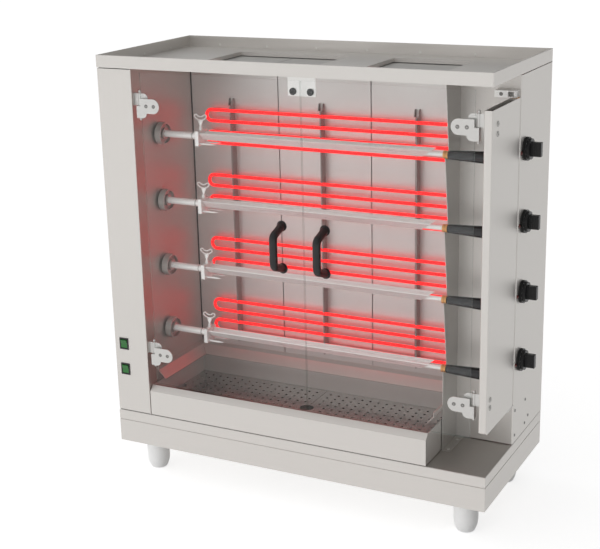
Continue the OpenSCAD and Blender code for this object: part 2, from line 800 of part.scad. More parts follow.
// Hairpin element: two rods joined by a bend at the left, with terminal pins on the right
module hairpin() {
    bend_r = rod_pitch / 2;
    x_bend = x_wall_l + bend_set + rod_d / 2 + bend_r;
    x_cold = x_wall_r + sheet + cold_l;
    for (side = [-1, 1]) translate([0, 0, side * bend_r]) {
        bar_x(x_bend, x_cold, rod_d);
        bar_x(x_cold, x_cold + terminal_l, terminal_d);
    }
    translate([x_bend, 0, 0]) rotate([90, 0, 0]) rotate([0, 0, 90])
        rotate_extrude(angle = 180) translate([bend_r, 0]) circle(d = rod_d);
}

// Two hairpins, one above the other, behind each spit
module heating_elements() color(red_hot) for (i = [1:spit_count]) for (k = [0:2:rods_per_group - 1])
    translate([0, rod_y, rod_z(i, k) - rod_pitch / 2]) hairpin();

// Geared motors in the column, each with a bearing boss through the cavity wall
module spit_motors() color(dark_metal) at_spits() {
    face = x_wall_l - sheet;
    difference() {
        union() {
            span([face - gearbox_l, -gearbox_w / 2, -gearbox_w / 2], [face, gearbox_w / 2, gearbox_w / 2]);
            bar_x(face - gearbox_l - motor_l, face - gearbox_l, motor_d);
            bar_x(face, x_wall_l + boss_out, boss_d);
        }
        bar_x(x_wall_l - shaft_l - over, x_wall_l + boss_out + over, shaft_d + 2 * running_fit);
    }
}

// Drive cup on the gearbox shaft, with a hub that takes the spit's round end and its square tang
module drive_socket(i) color(bright_steel) translate([0, spit_y, spit_z(i)]) {
    square_w = tang_w + 2 * slide_fit;
    bar_x(x_wall_l - shaft_l, x_cup + over, shaft_d);
    difference() {
        bar_x(x_cup, x_cup_end, cup_d);
        difference() {
            bar_x(x_neck, x_cup_end + over, cup_d - 2 * cup_wall);
            bar_x(x_neck - over, x_cup_end + 2 * over, hub_d);
        }
        bar_x(x_neck - slide_fit, x_cup_end + over, spit_d + 2 * slide_fit);
        translate([x_neck - tang_l - 2 * slide_fit, -square_w / 2, -square_w / 2])
            cube([tang_l + over, square_w, square_w]);
    }
}

// Section of the V bar, open upwards, grown all round by a clearance
module v_section(clear) {
    k = clear * sqrt(2);
    h = leg_t / sqrt(2);
    tip = leg_reach - apex;
    polygon([
        [0, -apex - k],
        [leg_reach + k, tip],
        [leg_reach - h, tip + h + k],
        [0, leg_t * sqrt(2) - apex + k],
        [h - leg_reach, tip + h + k],
        [-leg_reach - k, tip]]);
}

// Spit: square tang and round neck on the left, V bar with a slanting cut, journal rod on the right
module spit(i) color(bright_steel) translate([0, spit_y, spit_z(i)]) {
    translate([x_neck - tang_l, -tang_w / 2, -tang_w / 2]) cube([tang_l + over, tang_w, tang_w]);
    bar_x(x_neck, x_bar + fork_set - over, spit_d);
    difference() {
        plate_x(x_bar, x_bar_end - x_bar) v_section(0);
        plate_y(-leg_reach - over, 2 * leg_reach + 2 * over) polygon([
            [x_bar_end - point_l, -apex - over],
            [x_bar_end + over, -apex - over],
            [x_bar_end + over, leg_top],
            [x_bar_end, leg_top]]);
    }
    bar_x(x_bar_end - weld_l, x_grip + grip_l - grip_d, journal_d);
}

// Tapered handle pushed on the journal rod
module spit_handle(i) color(black) translate([0, spit_y, spit_z(i)]) difference() {
    rotate([0, 90, 0]) translate([0, 0, x_grip]) rotate_extrude() polygon([
        [0, 0],
        [grip_d / 2 - 2, 0],
        [grip_d / 2, 2],
        [grip_end_d / 2, grip_l - 8],
        [grip_end_d / 2 - 3, grip_l - 2],
        [grip_end_d / 2 - 7, grip_l],
        [0, grip_l]]);
    bar_x(x_grip - over, x_grip + grip_l - grip_d, journal_d + 2 * running_fit);
}

// Grooved bushes that sit in the open seats of the right cavity wall
module spit_bushes() color(bronze) at_spits() {
    middle = x_wall_r + sheet / 2;
    groove = sheet / 2 + seat_fit;
    difference() {
        union() {
            bar_x(middle - bush_l / 2, middle - groove, bush_d);
            bar_x(middle - bush_l / 2, middle + bush_l / 2, groove_d);
            bar_x(middle + groove, middle + bush_l / 2, bush_d);
        }
        bar_x(middle - bush_l, middle + bush_l, journal_d + 2 * running_fit);
    }
}

// Fork: a plate that slides on the V bar, with two pointed tines and a boss for the wing screw
module fork(i) color(bright_steel) translate([0, spit_y, spit_z(i)]) {
    half = leg_reach + slide_fit * sqrt(2) + fork_wall;
    middle = x_fork + fork_t / 2;
    difference() {
        union() {
            span([x_fork, -half, -fork_drop], [x_fork + fork_t, half, fork_top]);
            translate([middle, 0, fork_top - over]) cylinder(d = fork_t, h = fork_boss_h + over);
        }
        plate_x(x_fork - over, fork_t + 2 * over) v_section(slide_fit);
        translate([middle, 0, -apex]) cylinder(d = screw_d + 2 * running_fit, h = 2 * fork_top + apex);
    }
    for (side = [-1, 1]) translate([x_fork + fork_t, side * tine_pitch / 2, tine_d - fork_drop])
        rotate([0, 90, 0]) {
            cylinder(d = tine_d, h = tine_l - 3 * tine_d);
            translate([0, 0, tine_l - 3 * tine_d]) cylinder(d1 = tine_d, d2 = 1, h = 3 * tine_d);
        }
}

// Wing screw: a shank that presses on the V bar, a flared stem and a crescent wing
module wing_screw(i) color(bright_steel) translate([x_fork + fork_t / 2, spit_y, spit_z(i)]) {
    tip = leg_t * sqrt(2) - apex + screw_d / 2 + slide_fit * sqrt(2);
    under = wing_rise - wing_w / 2;
    lift = wing_mid + (wing_dish - wing_w) / 2;
    ear_z = (pow(wing_w / 2, 2) - pow(wing_dish / 2, 2) + lift * lift) / lift / 2;
    ear_x = sqrt(pow(wing_w / 2, 2) - ear_z * ear_z);
    ear = 1 - 1.5 * wing_wire / wing_w;
    translate([0, 0, tip]) cylinder(d = screw_d, h = under + wing_wire / 2 - tip);
    translate([0, 0, fork_top + fork_boss_h + slide_fit]) cylinder(d = fork_t, h = wing_wire);
    plate_y(-wing_t / 2, wing_t) translate([0, wing_rise]) {
        difference() {
            union() {
                difference() {
                    circle(d = wing_w);
                    translate([0, lift]) circle(d = wing_dish);
                }
                for (side = [-1, 1]) translate(ear * [side * ear_x, ear_z]) circle(d = 1.5 * wing_wire);
            }
            difference() {
                circle(d = wing_w - 2 * wing_wire);
                translate([0, lift]) circle(d = wing_dish + 2 * wing_wire);
            }
        }
        polygon([
            [-screw_d / 2, -wing_w / 2 - wing_neck],
            [screw_d / 2, -wing_w / 2 - wing_neck],
            [screw_d, wing_wire / 2 - wing_w / 2],
            [-screw_d, wing_wire / 2 - wing_w / 2]]);
    }
}

// Heat regulators behind the side panel, bored for the knobs' spindles
module heat_regulators() color(dark_metal) for (i = [1:spit_count])
    translate([0, knob_y, spit_z(i)]) difference() {
        face = x_right - sheet;
        span([face - regulator_d, -regulator_w / 2, -regulator_w / 2],
             [face, regulator_w / 2, regulator_w / 2]);
        bar_x(face - spindle_l - over, face + over, spindle_d + 2 * running_fit);
    }

// Control knob with a stepped skirt, a bar to grip and its spindle
module knob(i) color(black) translate([0, knob_y, spit_z(i)]) {
    back = x_right + knob_gap;
    dial = back + skirt_h;
    middle = back + skirt_h / 2;
    bar_x(back, middle - groove_w / 2, knob_d);
    bar_x(middle + groove_w / 2, dial, knob_d);
    bar_x(back + over, dial + dial_h, dial_d);
    span([dial + dial_h - over, -bar_w / 2, -bar_l / 2], [dial + dial_h + bar_h, bar_w / 2, bar_l / 2]);
    bar_x(x_right - sheet - spindle_l, back + over, spindle_d);
}

// Pilot lamps in the side panel, one in front of each knob
module pilot_lamps() color("#d8401f") for (i = [1:spit_count])
    translate([0, lamp_y, spit_z(i) - lamp_drop]) {
        bar_x(x_right - 12, x_right, lamp_d);
        bar_x(x_right, x_right + lamp_collar, lamp_d + 2 * lamp_collar);
        intersection() {
            translate([x_right, 0, 0]) sphere(d = lamp_d);
            bar_x(x_right, x_right + lamp_d, lamp_d);
        }
    }

// Switch bodies behind the column front, each with a bezel around its rocker
module switch_housings() color(black) for (z = switch_heights) translate([x_left + switch_x, y_front, z]) {
    pivot = rocker_w / 2 + trunnion_l + slide_fit;
    difference() {
        union() {
            translate([-bezel_w / 2, -bezel_t, -bezel_h / 2]) cube([bezel_w, bezel_t, bezel_h]);
            translate([seat_fit - cutout_w / 2, -over, seat_fit - cutout_h / 2])
                cube([cutout_w - 2 * seat_fit, switch_d + over, cutout_h - 2 * seat_fit]);
        }
        translate([-rocker_w / 2, -bezel_t - over, -rocker_h / 2])
            cube([rocker_w, bezel_t + pocket_d + over, rocker_h]);
        translate([0, rocker_set, 0]) bar_x(-pivot, pivot, trunnion_d + 2 * running_fit);
    }
}

// Rocker with two faces that meet in a shallow valley, tilted to one side
module rocker(k) color("#1f9a48") translate([x_left + switch_x, y_front + rocker_set, switch_heights[k]])
    rotate([rocker_tilt, 0, 0]) {
        half_w = rocker_w / 2 - slide_fit;
        bar_x(-rocker_w / 2 - trunnion_l, rocker_w / 2 + trunnion_l, trunnion_d);
        half_h = rocker_h / 2 - slide_fit - over;
        plate_x(-half_w, 2 * half_w) polygon([
            [-bezel_t - 2, -half_h],
            [-bezel_t - 0.5, 0],
            [-bezel_t - 2, half_h],
            [5, half_h],
            [5, -half_h]]);
    }

// Brackets on the control bay with the pins that the side door turns on
module side_hinge_brackets() color(bright_steel) {
    low = x_right - bracket_w;
    base = z_side - pivot_gap - strap_t;
    top = z_side_top + pivot_gap;
    high = x_right - bracket_set;
    difference() {
        span([low, y_control - bracket_d, top], [high, y_control, top + bracket_h]);
        span([low - over, y_control - bracket_d + strap_t, top + strap_t],
             [high + over, y_control - strap_t, top + bracket_h - strap_t]);
        span([high - bracket_open, y_control - bracket_d - over, top + strap_t],
             [high + over, y_control - strap_t, top + bracket_h - strap_t]);
    }
    translate([pivot_x, pivot_y, z_side_top - pivot_l])
        cylinder(d = pivot_d, h = pivot_l + pivot_gap + bracket_h);
    span([low, y_control - strap_t, base], [high, y_control, base + strap_h]);
    span([x_side - 8, y_control - 2 * bracket_d, base], [x_right, y_control, base + strap_t]);
    translate([pivot_x, pivot_y, base]) cylinder(d = pivot_d, h = pivot_l + pivot_gap + strap_t);
}

// Outline of the side door in Y and Z, with its lower front corner rounded
module side_outline() {
    r = side_corner;
    difference() {
        translate([y_front, z_side]) square([y_side - y_front, z_side_top - z_side]);
        translate([y_front - over, z_side - over]) square(r + over);
    }
    translate([y_front + r, z_side + r]) circle(r = r);
}

// Upright box of the side door's section, inset by a wall, from z up, with folded front edges
module side_box(z, inset) {
    translate([0, 0, z]) linear_extrude(z_side_top - z + inset) mirror([0, 1])
        pan_section([x_side + inset, inset - y_side], [x_right - inset, -y_front - inset], fold_r - inset);
}

// Narrow folded door, hollow and open at the top, with a boss at each end for its pivots
module side_door() color(steel) difference() {
    inner_w = side_t - 2 * sheet;
    union() {
        difference() {
            intersection() {
                plate_x(x_side, side_t) side_outline();
                side_box(z_side, 0);
            }
            side_box(z_side + side_corner, sheet);
        }
        for (z = [z_side, z_side_top - pivot_boss_l])
            translate([pivot_x - inner_w / 2 - sheet / 2, y_side - inner_w - sheet / 2, z])
                cube([inner_w + sheet, inner_w, pivot_boss_l]);
    }
    for (z = [z_side - over, z_side_top - pivot_l - over]) translate([pivot_x, pivot_y, z])
        cylinder(d = pivot_d + 2 * running_fit, h = pivot_l + 2 * over);
}

// Copies for the lower and the upper hinge of a door: the wall is at x = 0 and the door towards +X
module at_hinges() {
    for (z = hinge_heights) translate([0, 0, z]) children();
}

// Outline of a hinge lobe: a strip from the knuckle on, with one corner rounded
module hinge_lobe(x, gap) {
    reach = hinge_h / 2 + lobe_h;
    middle = pin_set - knuckle_r + lobe_w - lobe_h;
    translate([x, gap]) square([middle - x, reach - gap]);
    translate([middle, hinge_h / 2]) circle(r = lobe_h);
}

// Bracket with a lobe and a knuckle above, and the ball-ended pin that the door hangs on
module hinge_bracket() {
    reach = hinge_h / 2 + lobe_h;
    end = reach + ball_d / 2 + slide_fit;
    span([0, pin_y - ear_w / 2, 0], [ear_t, pin_y + ear_w / 2, reach]);
    plate_y(lobe_y, ear_t) hinge_lobe(0, 0);
    translate([pin_set, pin_y, 0]) cylinder(r = knuckle_r, h = reach);
    translate([pin_set, pin_y, -end]) cylinder(d = pin_d, h = 2 * end);
    for (side = [-1, 1]) translate([pin_set, pin_y, side * end]) sphere(d = ball_d);
}

// Hinge plate with a round end on the glass, and a lower lobe that carries the knuckle
module hinge_leaf() {
    half = hinge_h / 2;
    reach = half + lobe_h;
    low = pin_set - neck_w / 2;
    y_leaf = y_glass - leaf_t;
    difference() {
        union() {
            plate_y(y_leaf, leaf_t) {
                translate([glass_edge, -half]) square([hinge_l - half - glass_edge, hinge_h]);
                translate([hinge_l - half, 0]) circle(d = hinge_h);
                mirror([0, 1]) hinge_lobe(low, slide_fit);
            }
            span([low, y_leaf, -reach], [low + neck_w, pin_y, -slide_fit]);
            translate([pin_set, pin_y, -reach]) cylinder(r = knuckle_r, h = reach - slide_fit);
        }
        translate([pin_set, pin_y, -reach - over]) cylinder(d = pin_d + 2 * running_fit, h = reach + over);
    }
}

// Hinge brackets on the left cavity wall
module left_hinge_brackets() color(bright_steel) translate([x_wall_l, 0, 0]) at_hinges() hinge_bracket();

// Hinge brackets on the inside of the side door
module right_hinge_brackets() color(bright_steel)
    translate([x_side, 0, 0]) mirror([1, 0, 0]) at_hinges() hinge_bracket();

// Hinge plates on the left glass
module left_hinge_leaves() color(bright_steel) translate([x_wall_l, 0, 0]) at_hinges() hinge_leaf();

// Hinge plates on the right glass
module right_hinge_leaves() color(bright_steel)
    translate([x_side, 0, 0]) mirror([1, 0, 0]) at_hinges() hinge_leaf();

// Left glass door
module left_glass() color("#dfeaea", 0.3)
    span([x_wall_l + glass_edge, y_glass, z_glass],
         [x_meet - glass_meet / 2, y_glass + glass_t, z_glass_top]);

// Right glass door
module right_glass() color("#dfeaea", 0.3)
    span([x_meet + glass_meet / 2, y_glass, z_glass], [x_side - glass_edge, y_glass + glass_t, z_glass_top]);

// Bridge handle on the glass: one round bar, bent to a straight grip on two slanting legs
module door_handle(x) {
    bar = pull_d - 2 * pull_swell;
    grip = pull_out - pull_d / 2;
    turn = 90 - pull_lean;
    leg = (grip - pull_bend * (1 - cos(turn))) / sin(turn);
    foot = pull_l / 2 - pull_d / 2 / sin(turn);
    straight = foot - leg * cos(turn) - pull_bend * sin(turn);
    translate([x, y_glass, (z_glass + z_glass_top) / 2 + pull_rise]) {
        translate([0, -grip, -straight - over]) cylinder(d = bar, h = 2 * (straight + over));
        for (side = [0, 1]) mirror([0, 0, side]) translate([0, pull_bend - grip, straight])
            rotate([0, -90, 0]) rotate([0, 0, -90])
                rotate_extrude(angle = turn) translate([pull_bend, 0]) circle(d = pull_d);
        for (side = [0, 1]) mirror([0, 0, side]) difference() {
            translate([0, pull_bend * (1 - cos(turn)) - grip, straight + pull_bend * sin(turn)])
                rotate([-turn, 0, 0]) translate([0, 0, -over]) cylinder(d = bar, h = leg + pull_d);
            translate([-pull_d, 0, 0]) cube([2 * pull_d, 2 * pull_d, pull_l]);
        }
    }
}

// Handle near the meeting edge of the left glass
module left_door_handle() color(black) door_handle(x_meet - pull_set);

// Handle near the meeting edge of the right glass
module right_door_handle() color(black) door_handle(x_meet + pull_set);

// Sliding tray that catches the fat, its front folded to a slanting lip with a turned-down edge
module drip_tray() color(steel) {
    fold = sheet * tan(22.5);
    difference() {
        span([x_tray_l, y_front, z_tray], [x_tray_r, y_tray, z_tray_top]);
        span([x_tray_l + sheet, y_front - over, z_tray + sheet],
             [x_tray_r - sheet, y_tray - sheet, z_tray_top + over]);
        plate_x(x_tray_l - over, x_tray_r - x_tray_l + 2 * over) polygon([
            [y_front - over, z_tray_top - lip - over],
            [y_front + lip + over, z_tray_top + over],
            [y_front - over, z_tray_top + over]]);
    }
    plate_x(x_tray_l, x_tray_r - x_tray_l) translate([y_front, z_tray]) polygon([
        [0, 0],
        [0, tray_h - lip],
        [lip, tray_h],
        [lip, tray_h - lip_return],
        [lip - sheet, tray_h - lip_return],
        [lip - sheet, tray_h - 2 * sheet - fold],
        [sheet, tray_h - lip - fold],
        [sheet, 0]]);
}

// Perforated plate of the given size, with a half-round finger notch in each short edge
module perforated(size) {
    columns = floor((size[0] - 2 * hole_margin) / hole_pitch);
    rows = floor((size[1] - 2 * hole_margin) / hole_pitch);
    start = (size - [columns, rows] * hole_pitch) / 2;
    ends = [[0, size[1] / 2], [size[0], size[1] / 2]];
    difference() {
        square(size);
        for (end = ends) translate(end) circle(d = notch_d);
        for (i = [0:columns]) for (j = [0:rows]) {
            place = start + [i, j] * hole_pitch;
            free = min([for (end = ends) norm(place - end)]) > notch_d / 2 + hole_d;
            if (free) translate(place) circle(d = hole_d);
        }
    }
}

// Two perforated plates in the tray, standing on their down-turned front and rear edges
module drip_grids() color(steel) {
    y0 = y_front + lip + grid_gap;
    depth = y_tray - sheet - grid_gap - y0;
    length = (x_tray_r - x_tray_l) / 2 - sheet - 1.5 * grid_gap;
    for (x = [x_tray_l + sheet + grid_gap, x_tray_r - sheet - grid_gap - length]) translate([x, y0, 0]) {
        translate([0, 0, z_grid]) linear_extrude(sheet) perforated([length, depth]);
        for (y = [0, depth - sheet]) span([0, y, z_tray + sheet], [length, y + sheet, z_grid]);
    }
}

// Cable gland in the rear of the base box: a hexagon, a cap with the cable hole and a nut inside
module cable_gland() color(black) translate([gland_x, y_back, gland_z]) rotate([-90, 0, 0]) difference() {
    union() {
        cylinder(d = gland_d + 6, h = 7, $fn = 6);
        cylinder(d = gland_d, h = gland_out);
        translate([0, 0, -sheet - 12]) cylinder(d = gland_d - 4, h = sheet + 12 + over);
        translate([0, 0, -sheet - 6]) cylinder(d = gland_d + 6, h = 6, $fn = 6);
    }
    translate([0, 0, -sheet - 12 - over]) cylinder(d = cable_d, h = gland_out + sheet + 12 + 2 * over);
}

base_box();
deck();
feet();
left_cover();
left_cavity_wall();
back_panels();
right_cavity_wall();
control_cover();
rear_panel();
top_plate();
top_rim();
drip_deflectors();
door_catch_plate();
door_magnets();
element_supports();
heating_elements();
spit_motors();
spit_bushes();
heat_regulators();
pilot_lamps();
switch_housings();
side_hinge_brackets();
left_hinge_brackets();
cable_gland();
rocker(0);  // lower_rocker
rocker(1);  // upper_rocker
side_door();
right_hinge_brackets();
left_glass();
right_glass();
left_hinge_leaves();
right_hinge_leaves();
left_door_handle();
right_door_handle();
drip_tray();
drip_grids();
for (i = [1:spit_count]) {
    drive_socket(i);
    spit(i);
    spit_handle(i);
    fork(i);
    wing_screw(i);
    knob(i);
}
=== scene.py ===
import math

import bpy
from mathutils import Matrix, Vector


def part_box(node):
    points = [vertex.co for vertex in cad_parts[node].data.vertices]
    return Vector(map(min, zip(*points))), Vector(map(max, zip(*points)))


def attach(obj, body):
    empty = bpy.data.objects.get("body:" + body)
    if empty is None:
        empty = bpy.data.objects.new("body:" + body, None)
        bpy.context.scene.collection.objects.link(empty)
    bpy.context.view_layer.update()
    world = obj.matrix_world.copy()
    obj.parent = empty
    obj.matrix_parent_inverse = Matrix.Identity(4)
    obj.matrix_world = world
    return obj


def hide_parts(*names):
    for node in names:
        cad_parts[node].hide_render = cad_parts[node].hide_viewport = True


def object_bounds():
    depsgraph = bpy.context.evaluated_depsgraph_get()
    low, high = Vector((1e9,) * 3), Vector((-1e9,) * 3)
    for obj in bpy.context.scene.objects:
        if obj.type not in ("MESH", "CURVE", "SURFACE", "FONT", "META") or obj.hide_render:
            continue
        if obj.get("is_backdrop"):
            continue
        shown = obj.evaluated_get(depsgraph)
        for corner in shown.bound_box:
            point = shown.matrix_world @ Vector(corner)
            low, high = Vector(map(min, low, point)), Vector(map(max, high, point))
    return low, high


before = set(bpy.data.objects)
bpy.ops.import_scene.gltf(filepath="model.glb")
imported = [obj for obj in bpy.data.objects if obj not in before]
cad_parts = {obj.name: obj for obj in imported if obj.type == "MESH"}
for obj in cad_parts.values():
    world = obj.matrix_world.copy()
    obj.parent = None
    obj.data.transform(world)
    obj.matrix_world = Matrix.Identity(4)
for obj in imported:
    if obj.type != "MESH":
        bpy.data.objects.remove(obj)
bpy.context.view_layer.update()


# Camera. It stands in front of the right corner and a little above the machine, as the
# photographer did: turn, height, tilt and focal length come from the cabinet's edges.
turn, height, roll = math.radians(27.3149), math.radians(16.8646), math.radians(-1.3524)
back = Vector((math.sin(turn) * math.cos(height), -math.cos(turn) * math.cos(height), math.sin(height)))
right = (-back).cross(Vector((0, 0, 1))).normalized()
up = right.cross(-back)
across = right * math.cos(roll) + up * math.sin(roll)
upward = up * math.cos(roll) - right * math.sin(roll)
bpy.ops.object.select_all(action="DESELECT")
bpy.ops.object.camera_add(location=(1.40156, -2.88120, 1.54838))
camera = bpy.context.object
camera.name = "photo_camera"
camera.rotation_euler = Matrix((across, upward, back)).transposed().to_euler()
camera.data.sensor_width = 36
camera.data.lens = 77.077
camera.data.clip_end = 100
bpy.context.scene.camera = camera


# Studio surround. A soft sky that is brightest high in front on the left and falls off
# towards the back and the right, so that front, side and top of the steel differ. The low
# part is a white backdrop to the camera and in metal and glass.
def seen_rays(tree):
    path = tree.nodes.new("ShaderNodeLightPath")
    rays = path.outputs["Is Camera Ray"]
    for ray in ("Is Glossy Ray", "Is Transmission Ray"):
        either = tree.nodes.new("ShaderNodeMath")
        either.operation = "MAXIMUM"
        tree.links.new(rays, either.inputs[0])
        tree.links.new(path.outputs[ray], either.inputs[1])
        rays = either.outputs[0]
    return rays


bpy.context.scene.view_settings.view_transform = "Standard"
world = bpy.data.worlds.new("soft_surround")
bpy.context.scene.world = world
world.use_nodes = True
tree = world.node_tree
tree.nodes.clear()
coord = tree.nodes.new("ShaderNodeTexCoord")
facing = tree.nodes.new("ShaderNodeVectorMath")
facing.operation = "DOT_PRODUCT"
facing.inputs[1].default_value = (-0.54, -0.56, 0.63)
tree.links.new(coord.outputs["Generated"], facing.inputs[0])
level = tree.nodes.new("ShaderNodeMapRange")
level.inputs["From Min"].default_value = -0.3
level.inputs["From Max"].default_value = 0.8
level.inputs["To Min"].default_value = 0.12
level.inputs["To Max"].default_value = 0.80
tree.links.new(facing.outputs["Value"], level.inputs["Value"])
split = tree.nodes.new("ShaderNodeSeparateXYZ")
tree.links.new(coord.outputs["Generated"], split.inputs[0])
low_part = tree.nodes.new("ShaderNodeMapRange")
low_part.inputs["From Min"].default_value = 0.16
low_part.inputs["From Max"].default_value = 0.30
low_part.inputs["To Min"].default_value = 1.0
low_part.inputs["To Max"].default_value = 0.0
tree.links.new(split.outputs["Z"], low_part.inputs["Value"])
backdrop = tree.nodes.new("ShaderNodeMath")
backdrop.operation = "MULTIPLY"
tree.links.new(low_part.outputs[0], backdrop.inputs[0])
tree.links.new(seen_rays(tree), backdrop.inputs[1])
both = tree.nodes.new("ShaderNodeMix")
tree.links.new(backdrop.outputs[0], both.inputs["Factor"])
tree.links.new(level.outputs[0], both.inputs["A"])
both.inputs["B"].default_value = 1.0
sky = tree.nodes.new("ShaderNodeBackground")
sky.inputs["Color"].default_value = (1, 1, 1, 1)
tree.links.new(both.outputs["Result"], sky.inputs["Strength"])
out = tree.nodes.new("ShaderNodeOutputWorld")
tree.links.new(sky.outputs[0], out.inputs["Surface"])


# Studio floor and lamp. A wide white paper floor, seen as white by the camera and in the
# metal, that still takes the machine's shadow; one wide strip lamp stands low in front.
bpy.ops.object.select_all(action="DESELECT")
bpy.ops.mesh.primitive_plane_add(size=80, location=(0, 0, 0))
floor = bpy.context.object
floor.name = "studio_floor"
floor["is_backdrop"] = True
paper = bpy.data.materials.new("white_paper")
paper.use_nodes = True
tree = paper.node_tree
tree.nodes.clear()
level = tree.nodes.new("ShaderNodeMath")
level.operation = "MULTIPLY"
level.inputs[1].default_value = 0.68
tree.links.new(seen_rays(tree), level.inputs[0])
glow = tree.nodes.new("ShaderNodeEmission")
tree.links.new(level.outputs[0], glow.inputs["Strength"])
matt = tree.nodes.new("ShaderNodeBsdfDiffuse")
matt.inputs["Color"].default_value = (0.64, 0.64, 0.64, 1)
both = tree.nodes.new("ShaderNodeAddShader")
tree.links.new(glow.outputs[0], both.inputs[0])
tree.links.new(matt.outputs[0], both.inputs[1])
out = tree.nodes.new("ShaderNodeOutputMaterial")
tree.links.new(both.outputs[0], out.inputs["Surface"])
floor.data.materials.append(paper)

lamp_place, lamp_aim = Vector((-2.2, -4.8, 0.45)), Vector((0, 0, 0.55))
bpy.ops.object.light_add(type="AREA", location=lamp_place)
lamp = bpy.context.object
lamp.name = "front_lamp"
lamp.data.shape = "RECTANGLE"
lamp.data.size = 5.0
lamp.data.size_y = 0.3
lamp.data.energy = 80
lamp.visible_glossy = False
lamp.rotation_euler = (lamp_aim - lamp_place).to_track_quat("-Z", "Y").to_euler()


# Stainless sheet of the cabinet: base box, covers, rear panel, roof and rim. Folded from
# brushed sheet, a little warm in colour, with fine grain lines that run along each panel.
def brushed_sheet(name, colour, rough, stretch, metal=0.62, spread=0.05):
    mat = bpy.data.materials.new(name)
    mat.use_nodes = True
    nodes, links = mat.node_tree.nodes, mat.node_tree.links
    shader = nodes["Principled BSDF"]
    shader.inputs["Metallic"].default_value = metal
    spot = nodes.new("ShaderNodeTexCoord")
    grain_map = nodes.new("ShaderNodeMapping")
    grain_map.inputs["Scale"].default_value = stretch
    links.new(spot.outputs["Object"], grain_map.inputs["Vector"])
    grain = nodes.new("ShaderNodeTexNoise")
    grain.inputs["Scale"].default_value = 1.0
    grain.inputs["Detail"].default_value = 3.0
    links.new(grain_map.outputs[0], grain.inputs["Vector"])
    cloud = nodes.new("ShaderNodeTexNoise")
    cloud.inputs["Scale"].default_value = 3.5
    cloud.inputs["Detail"].default_value = 2.0
    links.new(spot.outputs["Object"], cloud.inputs["Vector"])
    part = nodes.new("ShaderNodeMath")
    part.operation = "MULTIPLY"
    part.inputs[1].default_value = 0.45
    links.new(cloud.outputs["Fac"], part.inputs[0])
    blend = nodes.new("ShaderNodeMath")
    blend.operation = "MULTIPLY_ADD"
    blend.inputs[1].default_value = 0.55
    links.new(grain.outputs["Fac"], blend.inputs[0])
    links.new(part.outputs[0], blend.inputs[2])
    tone = nodes.new("ShaderNodeMix")
    tone.data_type = "RGBA"
    tone.inputs["A"].default_value = (*(c * (1 - spread) for c in colour), 1)
    tone.inputs["B"].default_value = (*(min(1, c * (1 + spread)) for c in colour), 1)
    links.new(blend.outputs[0], tone.inputs["Factor"])
    links.new(tone.outputs["Result"], shader.inputs["Base Color"])
    gloss = nodes.new("ShaderNodeMapRange")
    gloss.inputs["To Min"].default_value = rough - 0.06
    gloss.inputs["To Max"].default_value = rough + 0.06
    links.new(blend.outputs[0], gloss.inputs["Value"])
    links.new(gloss.outputs[0], shader.inputs["Roughness"])
    dent = nodes.new("ShaderNodeBump")
    dent.inputs["Strength"].default_value = 0.05
    dent.inputs["Distance"].default_value = 0.0003
    links.new(grain.outputs["Fac"], dent.inputs["Height"])
    links.new(dent.outputs[0], shader.inputs["Normal"])
    return mat


def dress(names, mat):
    for name in names:
        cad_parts[name].data.materials.clear()
        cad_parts[name].data.materials.append(mat)


sheet_colour = (0.665, 0.640, 0.610)
upright = brushed_sheet("brushed_upright", sheet_colour, 0.42, (900, 900, 6))
lengthwise = brushed_sheet("brushed_lengthwise", sheet_colour, 0.42, (6, 900, 900))
dress(["left_cover", "control_cover", "rear_panel"], upright)
dress(["base_box", "top_plate", "top_rim"], lengthwise)


# Deck pan. The same sheet with painted shade on its upper face: the faces that look up are darkened and
# mottled, while the folded edges stay as bright as the base.
deck_sheet_painted_shade = brushed_sheet("deck_sheet_painted_shade", sheet_colour, 0.42, (6, 900, 900))
nodes, links = deck_sheet_painted_shade.node_tree.nodes, deck_sheet_painted_shade.node_tree.links
shader = nodes["Principled BSDF"]
bright_tone = shader.inputs["Base Color"].links[0].from_socket
spot = nodes.new("ShaderNodeTexCoord")
split = nodes.new("ShaderNodeSeparateXYZ")
links.new(spot.outputs["Normal"], split.inputs[0])
upper = nodes.new("ShaderNodeMapRange")
upper.inputs["From Min"].default_value = 0.6
links.new(split.outputs["Z"], upper.inputs["Value"])
# Painted shade: a mottled darker tone is multiplied onto the upward faces only.
shade_mottle = nodes.new("ShaderNodeTexNoise")
shade_mottle.inputs["Scale"].default_value = 7.0
shade_mottle.inputs["Detail"].default_value = 5.0
links.new(spot.outputs["Object"], shade_mottle.inputs["Vector"])
shade_tone = nodes.new("ShaderNodeMix")
shade_tone.data_type = "RGBA"
shade_tone.inputs["A"].default_value = (0.60, 0.59, 0.58, 1)
shade_tone.inputs["B"].default_value = (0.70, 0.69, 0.68, 1)
links.new(shade_mottle.outputs["Fac"], shade_tone.inputs["Factor"])
shaded_top = nodes.new("ShaderNodeMix")
shaded_top.data_type = "RGBA"
shaded_top.blend_type = "MULTIPLY"
links.new(upper.outputs[0], shaded_top.inputs["Factor"])
links.new(bright_tone, shaded_top.inputs["A"])
links.new(shade_tone.outputs["Result"], shaded_top.inputs["B"])
links.new(shaded_top.outputs["Result"], shader.inputs["Base Color"])
dress(["deck"], deck_sheet_painted_shade)


# Screws of the side panel and the rear panel. Pan-head screws with a cross recess, driven through the sheet;
# the heads stand a little proud. Their steel is dark as painted shade of the hollows round the heads; the
# zinc-plated finish serves the bright screws and rivets.
def pick_faces(piece, wanted):
    bpy.ops.object.mode_set(mode="EDIT")
    bpy.ops.mesh.select_mode(type="FACE")
    bpy.ops.mesh.select_all(action="DESELECT")
    bpy.ops.object.mode_set(mode="OBJECT")
    for face in piece.data.polygons:
        face.select = wanted(face.center, face.normal)
    bpy.ops.object.mode_set(mode="EDIT")


